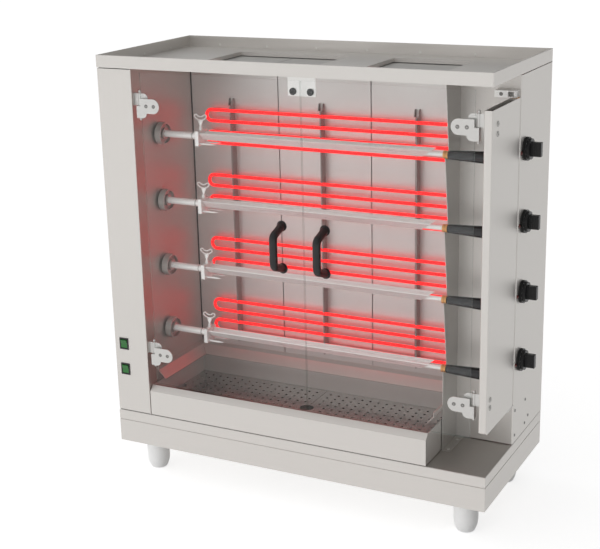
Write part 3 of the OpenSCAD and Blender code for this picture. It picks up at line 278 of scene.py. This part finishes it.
def cut_away(piece, tool):
    cut = piece.modifiers.new("cut", "BOOLEAN")
    cut.object = tool
    bpy.ops.object.select_all(action="DESELECT")
    piece.select_set(True)
    bpy.context.view_layer.objects.active = piece
    bpy.ops.object.modifier_apply(modifier="cut")
    bpy.data.objects.remove(tool)


def set_copies(model, places, name, body, finish):
    bpy.ops.object.select_all(action="DESELECT")
    for place in places:
        mesh = model.data.copy()
        mesh.transform(place)
        piece = bpy.data.objects.new(name, mesh)
        bpy.context.collection.objects.link(piece)
        piece.select_set(True)
    bpy.context.view_layer.objects.active = piece
    if len(places) > 1:
        bpy.ops.object.join()
    bpy.ops.object.shade_smooth_by_angle(angle=math.radians(35))
    piece.name = name
    piece.data.materials.clear()
    piece.data.materials.append(finish)
    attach(piece, body)


def facing_out(point, outward, size=1.0):
    twist = Vector(outward).to_track_quat("Z", "Y").to_matrix().to_4x4()
    return Matrix.Translation(point) @ twist @ Matrix.Scale(size, 4)


bpy.ops.object.select_all(action="DESELECT")
head_r, head_h, recess = 0.0042, 0.0024, (4.4, 0.9, 2.2)
bpy.ops.mesh.primitive_cylinder_add(vertices=20, radius=head_r, depth=head_h, location=(0, 0, head_h / 2))
pan_screw = bpy.context.object
pick_faces(pan_screw, lambda middle, normal: normal.z > 0.9)
bpy.ops.mesh.bevel(offset=0.0014, segments=3, affect="EDGES")
bpy.ops.object.mode_set(mode="OBJECT")
for angle in (0, 90):
    bpy.ops.mesh.primitive_cube_add(size=0.001, location=(0, 0, head_h), rotation=(0, 0, math.radians(angle)),
                                    scale=recess)
    cut_away(pan_screw, bpy.context.object)
plated = brushed_sheet("zinc_plated", (0.70, 0.69, 0.66), 0.32, (500, 500, 500), 0.8)
# Painted shade: this dark screw steel stands in for the shade round the screw heads.
shade_dark_screw_steel = brushed_sheet("painted_shade_screw_steel", (0.24, 0.235, 0.225), 0.35, (400, 400, 400), 0.7)
side_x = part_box("control_cover")[1].x
set_copies(pan_screw, [facing_out((side_x, y, z), (1, 0, 0)) for y, z in (
    (0.013, 0.207), (0.013, 0.274), (0.096, 0.208), (0.097, 0.273), (0.124, 0.219))],
    "side_panel_screws", "cabinet", shade_dark_screw_steel)
low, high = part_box("rear_panel")
edge_gap, end_gap, last = 0.018, 0.02, 5
row_length = high.z - low.z - 2 * end_gap
set_copies(pan_screw, [facing_out((x, high.y, low.z + end_gap + row_length * k / last), (0, 1, 0))
                       for x in (low.x + edge_gap, high.x - edge_gap) for k in range(last + 1)],
           "rear_panel_screws", "cabinet", shade_dark_screw_steel)


# Rivets of the gallery rim. Small domed rivets that hold the folded rim to the roof,
# set in a row along its foot on the inside.
bpy.ops.object.select_all(action="DESELECT")
rivet_r, rivet_h = 0.0042, 0.002
bpy.ops.mesh.primitive_cylinder_add(vertices=16, radius=rivet_r, depth=rivet_h, location=(0, 0, rivet_h / 2))
rivet = bpy.context.object
pick_faces(rivet, lambda middle, normal: normal.z > 0.9)
bpy.ops.mesh.bevel(offset=0.0017, segments=3, affect="EDGES")
bpy.ops.object.mode_set(mode="OBJECT")
low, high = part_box("top_rim")
rim_wall, rivet_z = 0.0015, low.z + 0.006
long_end, long_pitch, short_end, short_pitch = 0.1, 0.15, 0.09, 0.13
long_row = [low.x + long_end + long_pitch * k for k in range(6)]
short_row = [low.y + short_end + short_pitch * k for k in range(3)]
set_copies(rivet, [facing_out((x, high.y - rim_wall, rivet_z), (0, -1, 0)) for x in long_row]
           + [facing_out((low.x + rim_wall, y, rivet_z), (1, 0, 0)) for y in short_row]
           + [facing_out((high.x - rim_wall, y, rivet_z), (-1, 0, 0)) for y in short_row]
           + [facing_out((x, low.y + rim_wall, rivet_z), (0, 1, 0)) for x in long_row],
           "rim_rivets", "cabinet", plated)


# Feet. Rounded feet of white plastic on threaded studs, satin from the mould, with a
# faint grain.
def moulded(name, colour, rough, grain_size=900, depth=0.08, spread=0.06):
    mat = bpy.data.materials.new(name)
    mat.use_nodes = True
    nodes, links = mat.node_tree.nodes, mat.node_tree.links
    shader = nodes["Principled BSDF"]
    spot = nodes.new("ShaderNodeTexCoord")
    grain = nodes.new("ShaderNodeTexNoise")
    grain.inputs["Scale"].default_value = grain_size
    grain.inputs["Detail"].default_value = 2.0
    links.new(spot.outputs["Object"], grain.inputs["Vector"])
    cloud = nodes.new("ShaderNodeTexNoise")
    cloud.inputs["Scale"].default_value = 14.0
    links.new(spot.outputs["Object"], cloud.inputs["Vector"])
    tone = nodes.new("ShaderNodeMix")
    tone.data_type = "RGBA"
    tone.inputs["A"].default_value = (*(c * (1 - spread) for c in colour), 1)
    tone.inputs["B"].default_value = (*(min(1, c * (1 + spread)) for c in colour), 1)
    links.new(cloud.outputs["Fac"], tone.inputs["Factor"])
    links.new(tone.outputs["Result"], shader.inputs["Base Color"])
    gloss = nodes.new("ShaderNodeMapRange")
    gloss.inputs["To Min"].default_value = rough - 0.05
    gloss.inputs["To Max"].default_value = rough + 0.05
    links.new(cloud.outputs["Fac"], gloss.inputs["Value"])
    links.new(gloss.outputs[0], shader.inputs["Roughness"])
    dent = nodes.new("ShaderNodeBump")
    dent.inputs["Strength"].default_value = depth
    dent.inputs["Distance"].default_value = 0.0002
    links.new(grain.outputs["Fac"], dent.inputs["Height"])
    links.new(dent.outputs[0], shader.inputs["Normal"])
    return mat


dress(["feet"], moulded("white_plastic", (0.97, 0.97, 0.965), 0.3, spread=0.02))


# Linings of the cooking space: back panels of the same sheet, dulled by heat; the left wall and drip deflectors
# take a darker, browner sheet and the right wall a darker grey one, both as painted shade inside the cavity.
lining = brushed_sheet("heat_dulled_sheet", (0.61, 0.60, 0.58), 0.45, (6, 700, 700), 0.62, 0.08)
dress(["back_panels"], lining)
# Painted shade: a darker, browner sheet for the left wall and the drip deflectors.
shade_brown_sheet = brushed_sheet("painted_shade_brown_sheet", (0.52, 0.475, 0.445), 0.42, (700, 700, 6), 0.66, 0.09)
dress(["left_cavity_wall", "drip_deflectors"], shade_brown_sheet)
# Painted shade: a darker grey sheet for the right wall.
shaded = brushed_sheet("painted_shade_grey_sheet", (0.52, 0.50, 0.475), 0.42, (700, 700, 6), 0.66, 0.06)
dress(["right_cavity_wall"], shaded)


# Seams in the rear corners of the cooking space. A thin near-black bead lies in the joint between back panels
# and side walls as painted shade of the corner; it is a little uneven.
# Painted shade: a near-black bead stands in for the shade in the corner.
corner_shade = moulded("painted_corner_shade", (0.035, 0.032, 0.030), 0.75, 400, 0.2, 0.3)
seam_r, off_wall, off_panel, off_top = 0.0016, 0.0008, 0.0006, 0.03
seam_low, seam_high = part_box("drip_deflectors")[1].z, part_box("back_panels")[1].z - off_top
seam_x = (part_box("left_cavity_wall")[1].x + off_wall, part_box("right_cavity_wall")[0].x - off_wall)
seam_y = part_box("back_panels")[0].y - off_panel
bpy.ops.object.select_all(action="DESELECT")
bpy.ops.mesh.primitive_cylinder_add(vertices=10, radius=seam_r, depth=seam_high - seam_low, location=(0, 0, 0))
seam = bpy.context.object
bpy.ops.object.mode_set(mode="EDIT")
bpy.ops.mesh.select_all(action="SELECT")
bpy.ops.mesh.subdivide(number_cuts=5)
bpy.ops.transform.vertex_random(offset=0.00015, seed=9)
bpy.ops.object.mode_set(mode="OBJECT")
set_copies(seam, [Matrix.Translation((x, seam_y, (seam_low + seam_high) / 2)) for x in seam_x],
           "corner_seams", "cabinet", corner_shade)
bpy.data.objects.remove(seam)


# Screws of the linings. Two pan-head screws hold the foot of the right wall to the deck,
# plated and wiped bright; they stand on the fold.
low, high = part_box("right_cavity_wall")
foot_top, screw_x = low.z + 0.0015, low.x + 0.013
set_copies(pan_screw, [facing_out((screw_x, low.y + y, foot_top), (0, 0, 1)) for y in (0.012, 0.075)],
           "wall_foot_screws", "cabinet", plated)


# Heating elements. Metal-sheathed rods, bent to hairpins, that glow red and light the
# panels behind them; the sheath is mottled by scale.
mat = bpy.data.materials.new("glowing_rod")
mat.use_nodes = True
nodes, links = mat.node_tree.nodes, mat.node_tree.links
shader = nodes["Principled BSDF"]
shader.inputs["Roughness"].default_value = 0.55
shader.inputs["Specular IOR Level"].default_value = 0.1
spot = nodes.new("ShaderNodeTexCoord")
scale_spots = nodes.new("ShaderNodeTexNoise")
scale_spots.inputs["Scale"].default_value = 60.0
scale_spots.inputs["Detail"].default_value = 3.0
links.new(spot.outputs["Object"], scale_spots.inputs["Vector"])
heat = nodes.new("ShaderNodeMix")
heat.data_type = "RGBA"
heat.inputs["A"].default_value = (0.60, 0.004, 0.006, 1)
heat.inputs["B"].default_value = (0.80, 0.008, 0.009, 1)
links.new(scale_spots.outputs["Fac"], heat.inputs["Factor"])
links.new(heat.outputs["Result"], shader.inputs["Emission Color"])
shader.inputs["Base Color"].default_value = (0.16, 0.02, 0.02, 1)
shader.inputs["Emission Strength"].default_value = 2.0
dress(["heating_elements"], mat)


# Element supports. Notched strips of heat-dark steel, fixed to the back panels, that carry
# the rods; the motors and regulators behind the walls have the same dull finish.
dark_steel = brushed_sheet("heat_dark_steel", (0.31, 0.28, 0.265), 0.5, (300, 300, 300), 0.5, 0.15)
dress(["element_supports", "spit_motors", "heat_regulators"], dark_steel)


# Upper ends of the element supports. Each support runs on above its rods as two straps,
# cut from the same dark steel and welded to its web and flange.
low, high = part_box("element_supports")
strap_h, strap_w, strap_t = 0.019, 0.012, 0.002
bpy.ops.object.select_all(action="DESELECT")
bpy.ops.mesh.primitive_cube_add(size=1, location=(0, 0, 0), scale=(strap_t, strap_w, strap_h))
strap = bpy.context.object
bpy.ops.object.transform_apply(location=False, rotation=False, scale=True)
pick_faces(strap, lambda middle, normal: normal.z > 0.9)
bpy.ops.transform.resize(value=(1, 0.6, 1), center_override=(0, strap_w / 2, 0))
pick_faces(strap, lambda middle, normal: True)
bpy.ops.mesh.bevel(offset=0.0004, segments=2, affect="EDGES")
bpy.ops.object.mode_set(mode="OBJECT")
support_w, strap_x = 0.014, (0.001, 0.0125)
bay = (high.x - low.x - support_w) / 2
set_copies(strap, [Matrix.Translation((low.x + bay * n + x, high.y - strap_w / 2, high.z + strap_h / 2))
                   for n in range(3) for x in strap_x],
           "support_straps", "cabinet", dark_steel)
bpy.data.objects.remove(strap)


# Drive sockets, spits and forks. Turned and bent bright steel: the sockets are darker from
# the lathe, the V bars are polished, the forks are plated.
polished = brushed_sheet("polished_bar", (0.90, 0.89, 0.87), 0.28, (20, 500, 500), 0.2, 0.03)
turned = brushed_sheet("turned_steel", (0.47, 0.46, 0.44), 0.40, (900, 40, 40), 0.6)
white_plate = brushed_sheet("bright_plate", (0.82, 0.81, 0.79), 0.34, (250, 250, 250), 0.4, 0.03)
dress([f"drive_socket_{k}" for k in range(1, 5)], turned)
dress([f"spit_{k}" for k in range(1, 5)], polished)
dress([f"fork_{k}" for k in range(1, 5)], white_plate)


# Weld bead on each spit, where the round neck is welded to the V bar: a ring of weld metal,
# uneven, as laid by hand.
spit_height = {k: sum(c.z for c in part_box(f"drive_socket_{k}")) / 2 for k in range(1, 5)}
ring_r, bead_r, weld_reach, spit_y = 0.0088, 0.0014, 0.121, -0.096
bpy.ops.object.select_all(action="DESELECT")
bpy.ops.mesh.primitive_torus_add(major_radius=ring_r, minor_radius=bead_r, major_segments=36, minor_segments=8,
                                 rotation=(0, math.radians(90), 0))
bead = bpy.context.object
bpy.ops.object.transform_apply(location=False, rotation=True, scale=False)
bpy.ops.object.mode_set(mode="EDIT")
bpy.ops.mesh.select_all(action="SELECT")
bpy.ops.transform.vertex_random(offset=0.0003, seed=4)
bpy.ops.object.mode_set(mode="OBJECT")
weld_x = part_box("left_cavity_wall")[0].x + weld_reach
for k in range(1, 5):
    set_copies(bead, [Matrix.Translation((weld_x, spit_y, spit_height[k]))], f"weld_bead_{k}", f"spit_{k}",
               turned)
bpy.data.objects.remove(bead)


# Wing screws. A shank with a collar, a flared flat neck and a loop of round bar, bent down
# in its middle so that the two ears stand up; cast in one and plated.
def bow(radius, angles):
    return [(radius * math.sin(a), -radius * math.cos(a)) for a in angles]


loop_bar, loop_bend, ear_r, ear_turn, loop_z = 0.0018, 0.018, 0.0044, math.radians(46), 0.064
outline = bow(loop_bend + ear_r, [ear_turn * n / 8 for n in range(-8, 9)])
for side in (1, -1):
    ear = (side * loop_bend * math.sin(ear_turn), -loop_bend * math.cos(ear_turn))
    start = ear_turn - math.pi / 2 if side > 0 else math.pi / 2 - ear_turn
    sweep = [start + math.pi * n / 8 for n in range(1, 8)]
    outline += [(ear[0] + ear_r * math.cos(a), ear[1] + ear_r * math.sin(a)) for a in sweep]
    if side > 0:
        outline += bow(loop_bend - ear_r, [ear_turn * n / 6 for n in range(6, -7, -1)])
wire = bpy.data.curves.new("wing_wire", "CURVE")
wire.dimensions = "3D"
wire.bevel_depth, wire.bevel_resolution = loop_bar, 3
spline = wire.splines.new("POLY")
spline.points.add(len(outline) - 1)
spline.use_cyclic_u = True
for point, (x, z) in zip(spline.points, outline):
    point.co = (x, 0, loop_z + z, 1)
loop = bpy.data.objects.new("wing_loop", wire)
bpy.context.collection.objects.link(loop)
bpy.ops.object.select_all(action="DESELECT")
loop.select_set(True)
bpy.context.view_layer.objects.active = loop
bpy.ops.object.convert(target="MESH")
shank_r, collar_r, collar_h, collar_rise = 0.0029, 0.0049, 0.003, 0.0019
neck_r, flare_r, flare_flat, neck_low, neck_high, sunk = 0.003, 0.0085, 0.24, 0.028, 0.0415, 0.001
shank_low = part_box("wing_screw_1")[0].z - spit_height[1]
collar_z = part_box("fork_1")[1].z - spit_height[1] + collar_rise
bpy.ops.mesh.primitive_cylinder_add(vertices=24, radius=shank_r, depth=neck_low - shank_low + sunk,
                                    location=(0, 0, (neck_low + shank_low + sunk) / 2))
shank = bpy.context.object
bpy.ops.mesh.primitive_cylinder_add(vertices=24, radius=collar_r, depth=collar_h, location=(0, 0, collar_z))
collar = bpy.context.object
bpy.ops.mesh.primitive_cone_add(vertices=32, radius1=neck_r, radius2=flare_r, depth=neck_high - neck_low,
                                location=(0, 0, (neck_low + neck_high) / 2))
neck = bpy.context.object
pick_faces(neck, lambda middle, normal: normal.z > 0.9)
bpy.ops.transform.resize(value=(1, flare_flat, 1), center_override=(0, 0, 0))
bpy.ops.object.mode_set(mode="OBJECT")
for piece in (shank, collar, loop):
    piece.select_set(True)
bpy.context.view_layer.objects.active = neck
bpy.ops.object.join()
bpy.ops.object.transform_apply(location=True, rotation=True, scale=True)
low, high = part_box("wing_screw_1")
wing_x, wing_y = (low.x + high.x) / 2, (low.y + high.y) / 2
for k in range(1, 5):
    set_copies(neck, [Matrix.Translation((wing_x, wing_y, spit_height[k]))], f"wing_loop_{k}",
               f"wing_screw_{k}", white_plate)
    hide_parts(f"wing_screw_{k}")
bpy.data.objects.remove(neck)


# Spit bushes and handles. Grooved bushes of bronze in the wall's open seats, and turned
# handles of black phenolic, polished by the hand.
bronze = brushed_sheet("turned_bronze", (0.66, 0.34, 0.12), 0.35, (900, 30, 30), 0.8)
phenolic = moulded("black_phenolic", (0.016, 0.016, 0.017), 0.22, 500, 0.03)
dress(["spit_bushes"], bronze)
dress([f"spit_handle_{k}" for k in range(1, 5)], phenolic)


# Knobs. Two-step skirts and a grip bar of black plastic: moulded ribs run down both sides
# of the grip, a white pointer line lies on its end and white ticks on the skirt.
satin_black = moulded("satin_black", (0.006, 0.006, 0.0065), 0.42)
dress([f"knob_{k}" for k in range(1, 5)], satin_black)
print_white = moulded("printed_white", (0.62, 0.62, 0.60), 0.5, 1500, 0.02)
low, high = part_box("knob_1")
knob_y = (low.y + high.y) / 2
bpy.ops.object.select_all(action="DESELECT")
bpy.ops.mesh.primitive_cube_add(size=0.001, location=(0, 0, 0), scale=(1.6, 1.6, 31))
rib = bpy.context.object
bpy.ops.object.transform_apply(location=False, rotation=False, scale=True)
pick_faces(rib, lambda middle, normal: True)
bpy.ops.mesh.bevel(offset=0.0005, segments=2, affect="EDGES")
bpy.ops.object.mode_set(mode="OBJECT")
bpy.ops.object.select_all(action="DESELECT")
bpy.ops.mesh.primitive_cube_add(size=0.001, location=(0, 0, 0), scale=(0.5, 0.8, 2.4))
tick = bpy.context.object
bpy.ops.object.transform_apply(location=False, rotation=False, scale=True)
pick_faces(tick, lambda middle, normal: normal.x > 0.9)
bpy.ops.mesh.inset(thickness=0.0002, depth=0.0001)
bpy.ops.object.mode_set(mode="OBJECT")
grip_h, pointer_in, pointer_up, pointer_stretch = 0.031, 0.012, 0.017, 6
grip_end, skirt_face = high.x, high.x - grip_h
first_rib, rib_pitch, grip_side, tick_ring, tick_step = 0.0025, 0.004, 0.0065, 0.0268, 27
for k in range(1, 5):
    middle = Vector((0, knob_y, spit_height[k]))
    ribs = [middle + Vector((grip_end - first_rib - rib_pitch * n, side * grip_side, 0))
            for n in range(5) for side in (-1, 1)]
    set_copies(rib, [Matrix.Translation(place) for place in ribs],
               f"knob_ribs_{k}", f"knob_{k}", satin_black)
    set_copies(tick, [Matrix.Translation(middle + Vector((skirt_face, 0, 0)))
                      @ Matrix.Rotation(math.radians(tick_step * (n - 5)), 4, "X")
                      @ Matrix.Translation((0, 0, tick_ring)) for n in range(11)]
               + [Matrix.Translation(middle + Vector((grip_end - pointer_in, 0, pointer_up)))
                  @ Matrix.Rotation(math.radians(-90), 4, "Y") @ Matrix.Scale(pointer_stretch, 4, (0, 0, 1))],
               f"knob_marks_{k}", f"knob_{k}", print_white)
bpy.data.objects.remove(rib)
bpy.data.objects.remove(tick)


# Pilot lamps. Small lenses of dark red plastic beside the knobs, pressed into the side
# panel; glossy, with a faint ripple.
dress(["pilot_lamps"], moulded("lamp_red", (0.16, 0.03, 0.025), 0.18, 300, 0.05))


# Rocker switches low on the column. Black housings with rockers of green see-through
# plastic, moulded with a soft grain.
dress(["switch_housings"], satin_black)
rocker_green = moulded("rocker_green", (0.018, 0.165, 0.026), 0.16, 120, 0.06, 0.35)
dress(["lower_rocker", "upper_rocker"], rocker_green)


# Side door and its brackets. The door is a folded sheet box on two pivots; the upper bracket
# is a bright folded channel with a bronze washer under it, and pan-head screws hold both.
dress(["side_door"], upright)
dress(["side_hinge_brackets"], polished)
door_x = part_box("side_door")[1].x
set_copies(pan_screw, [facing_out((door_x, y, z), (1, 0, 0), 1.7) for y, z in (
    (-0.172, 1.032), (-0.172, 1.009), (-0.185, 0.378), (-0.185, 0.357))],
    "side_door_screws", "side_door", turned)
low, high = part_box("side_hinge_brackets")
from_left, from_back, from_top = 0.016, 0.024, 0.008
set_copies(pan_screw, [facing_out((low.x + from_left, high.y - from_back, high.z - from_top), (0, -1, 0), 1.1)],
           "upper_bracket_screw", "cabinet", shade_dark_screw_steel)
bpy.ops.object.select_all(action="DESELECT")
washer_r, washer_rim, washer_t, washer_gap, pivot = 0.0095, 0.0052, 0.0007, 0.0005, (0.495, -0.019)
bpy.ops.mesh.primitive_cylinder_add(vertices=32, radius=washer_r, depth=washer_t, location=(0, 0, 0))
washer = bpy.context.object
pick_faces(washer, lambda middle, normal: abs(normal.z) > 0.9)
bpy.ops.mesh.inset(thickness=washer_rim)
bpy.ops.mesh.bridge_edge_loops()
bpy.ops.object.mode_set(mode="OBJECT")
set_copies(washer, [Matrix.Translation((*pivot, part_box("side_door")[1].z + washer_gap))],
           "pivot_washer", "cabinet", bronze)
bpy.data.objects.remove(washer)


# Glass doors. Two frameless sheets of toughened glass with polished, faintly green edges;
# the faces carry a trace of grease that shows only in the gloss.
glass = bpy.data.materials.new("clear_glass")
glass.use_nodes = True
nodes, links = glass.node_tree.nodes, glass.node_tree.links
shader = nodes["Principled BSDF"]
spot = nodes.new("ShaderNodeTexCoord")
split = nodes.new("ShaderNodeSeparateXYZ")
links.new(spot.outputs["Normal"], split.inputs[0])
flat = nodes.new("ShaderNodeMath")
flat.operation = "ABSOLUTE"
links.new(split.outputs["Y"], flat.inputs[0])
body_tint = nodes.new("ShaderNodeMix")
body_tint.data_type = "RGBA"
body_tint.inputs["A"].default_value = (0.33, 0.48, 0.43, 1)
body_tint.inputs["B"].default_value = (0.90, 0.95, 0.94, 1)
links.new(flat.outputs[0], body_tint.inputs["Factor"])
links.new(body_tint.outputs["Result"], shader.inputs["Base Color"])
cover = nodes.new("ShaderNodeMapRange")
cover.inputs["To Min"].default_value = 0.26
cover.inputs["To Max"].default_value = 0.022
links.new(flat.outputs[0], cover.inputs["Value"])
links.new(cover.outputs[0], shader.inputs["Alpha"])
smear = nodes.new("ShaderNodeTexNoise")
smear.inputs["Scale"].default_value = 9.0
smear.inputs["Detail"].default_value = 4.0
links.new(spot.outputs["Object"], smear.inputs["Vector"])
haze = nodes.new("ShaderNodeMapRange")
haze.inputs["To Min"].default_value = 0.02
haze.inputs["To Max"].default_value = 0.10
links.new(smear.outputs["Fac"], haze.inputs["Value"])
links.new(haze.outputs[0], shader.inputs["Roughness"])
dress(["left_glass", "right_glass"], glass)


# Glass hinges. Bright plates clamped on the glass by two pan-head screws each, on ears
# that turn about pins in the brackets.
cast_plate = brushed_sheet("satin_plate", (0.62, 0.61, 0.59), 0.36, (250, 250, 250), 0.5, 0.04)
dress(["left_hinge_brackets", "right_hinge_brackets", "left_hinge_leaves", "right_hinge_leaves"], cast_plate)
# The hinge screws take the dark screw steel, as painted shade of their countersunk hollows.
screw_x, plate_mid, hinge_gap, sunk = (0.016, 0.038), 0.0185, 0.664, 0.0004
for side, far in (("left", 1), ("right", 0)):
    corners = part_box(f"{side}_hinge_leaves")
    inward = -1 if far else 1
    upper_z = corners[1].z - plate_mid
    set_copies(pan_screw, [facing_out((corners[far].x + inward * x, corners[0].y + sunk, z), (0, -1, 0), 1.2)
                           for x in screw_x for z in (upper_z, upper_z - hinge_gap)],
               f"{side}_hinge_screws", f"{side}_glass_door", shade_dark_screw_steel)


# Door handles. Bent round bars of satin black, bolted through the glass: a black rosette
# sits under each foot, and a bright cap nut closes the bolt behind the glass.
dress(["left_door_handle", "right_door_handle"], satin_black)
bpy.ops.object.select_all(action="DESELECT")
bar_r, rosette_r, rosette_h = 0.0106, 0.0135, 0.0016
nut_r, nut_h, nut_edge, dome_h = 0.0065, 0.005, 0.0012, 0.003
bpy.ops.mesh.primitive_cylinder_add(vertices=40, radius=rosette_r, depth=rosette_h,
                                    location=(0, 0, rosette_h / 2))
rosette = bpy.context.object
pick_faces(rosette, lambda middle, normal: normal.z > 0.9)
bpy.ops.mesh.bevel(offset=0.0008, segments=3, affect="EDGES")
bpy.ops.object.mode_set(mode="OBJECT")
bpy.ops.object.select_all(action="DESELECT")
bpy.ops.mesh.primitive_cylinder_add(vertices=6, radius=nut_r, depth=nut_h, location=(0, 0, nut_h / 2))
cap_nut = bpy.context.object
pick_faces(cap_nut, lambda middle, normal: normal.z > 0.9)
bpy.ops.mesh.inset(thickness=nut_edge)
bpy.ops.mesh.extrude_region_move(TRANSFORM_OT_translate={"value": (0, 0, dome_h)})
bpy.ops.mesh.bevel(offset=0.0018, segments=3, affect="EDGES")
bpy.ops.object.mode_set(mode="OBJECT")
for side in ("left", "right"):
    low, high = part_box(f"{side}_door_handle")
    glass_low, glass_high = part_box(f"{side}_glass")
    feet = [((low.x + high.x) / 2, z) for z in (low.z + bar_r, high.z - bar_r)]
    set_copies(rosette, [facing_out((x, glass_low.y, z), (0, -1, 0)) for x, z in feet],
               f"{side}_handle_rosettes", f"{side}_glass_door", satin_black)
    set_copies(cap_nut, [facing_out((x, glass_high.y, z), (0, 1, 0)) for x, z in feet],
               f"{side}_handle_nuts", f"{side}_glass_door", plated)
bpy.data.objects.remove(rosette)
bpy.data.objects.remove(cap_nut)


# Catch plate with its magnets. A bent bright strip under the roof; the magnets are black
# round heads on it.
dress(["door_catch_plate"], white_plate)
dress(["door_magnets"], phenolic)


# Drip tray and perforated plates. Pressed and folded sheet; the plates are scrubbed smooth, so that they mirror
# the rods, and their colour is darkened as painted shade under the roof.
dress(["drip_tray"], lengthwise)
# Painted shade: the plates' darker colour stands in for the shade under the roof.
scrubbed_shaded_sheet = brushed_sheet("scrubbed_sheet_painted_shade", (0.47, 0.445, 0.43), 0.25, (8, 600, 600), 1.0, 0.08)
dress(["drip_grids"], scrubbed_shaded_sheet)


# Cable gland at the rear of the base: a black nylon nut with a clamped, empty throat. The
# models of screw and rivet have served and are taken away.
dress(["cable_gland"], satin_black)
bpy.data.objects.remove(pan_screw)
bpy.data.objects.remove(rivet)

low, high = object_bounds()
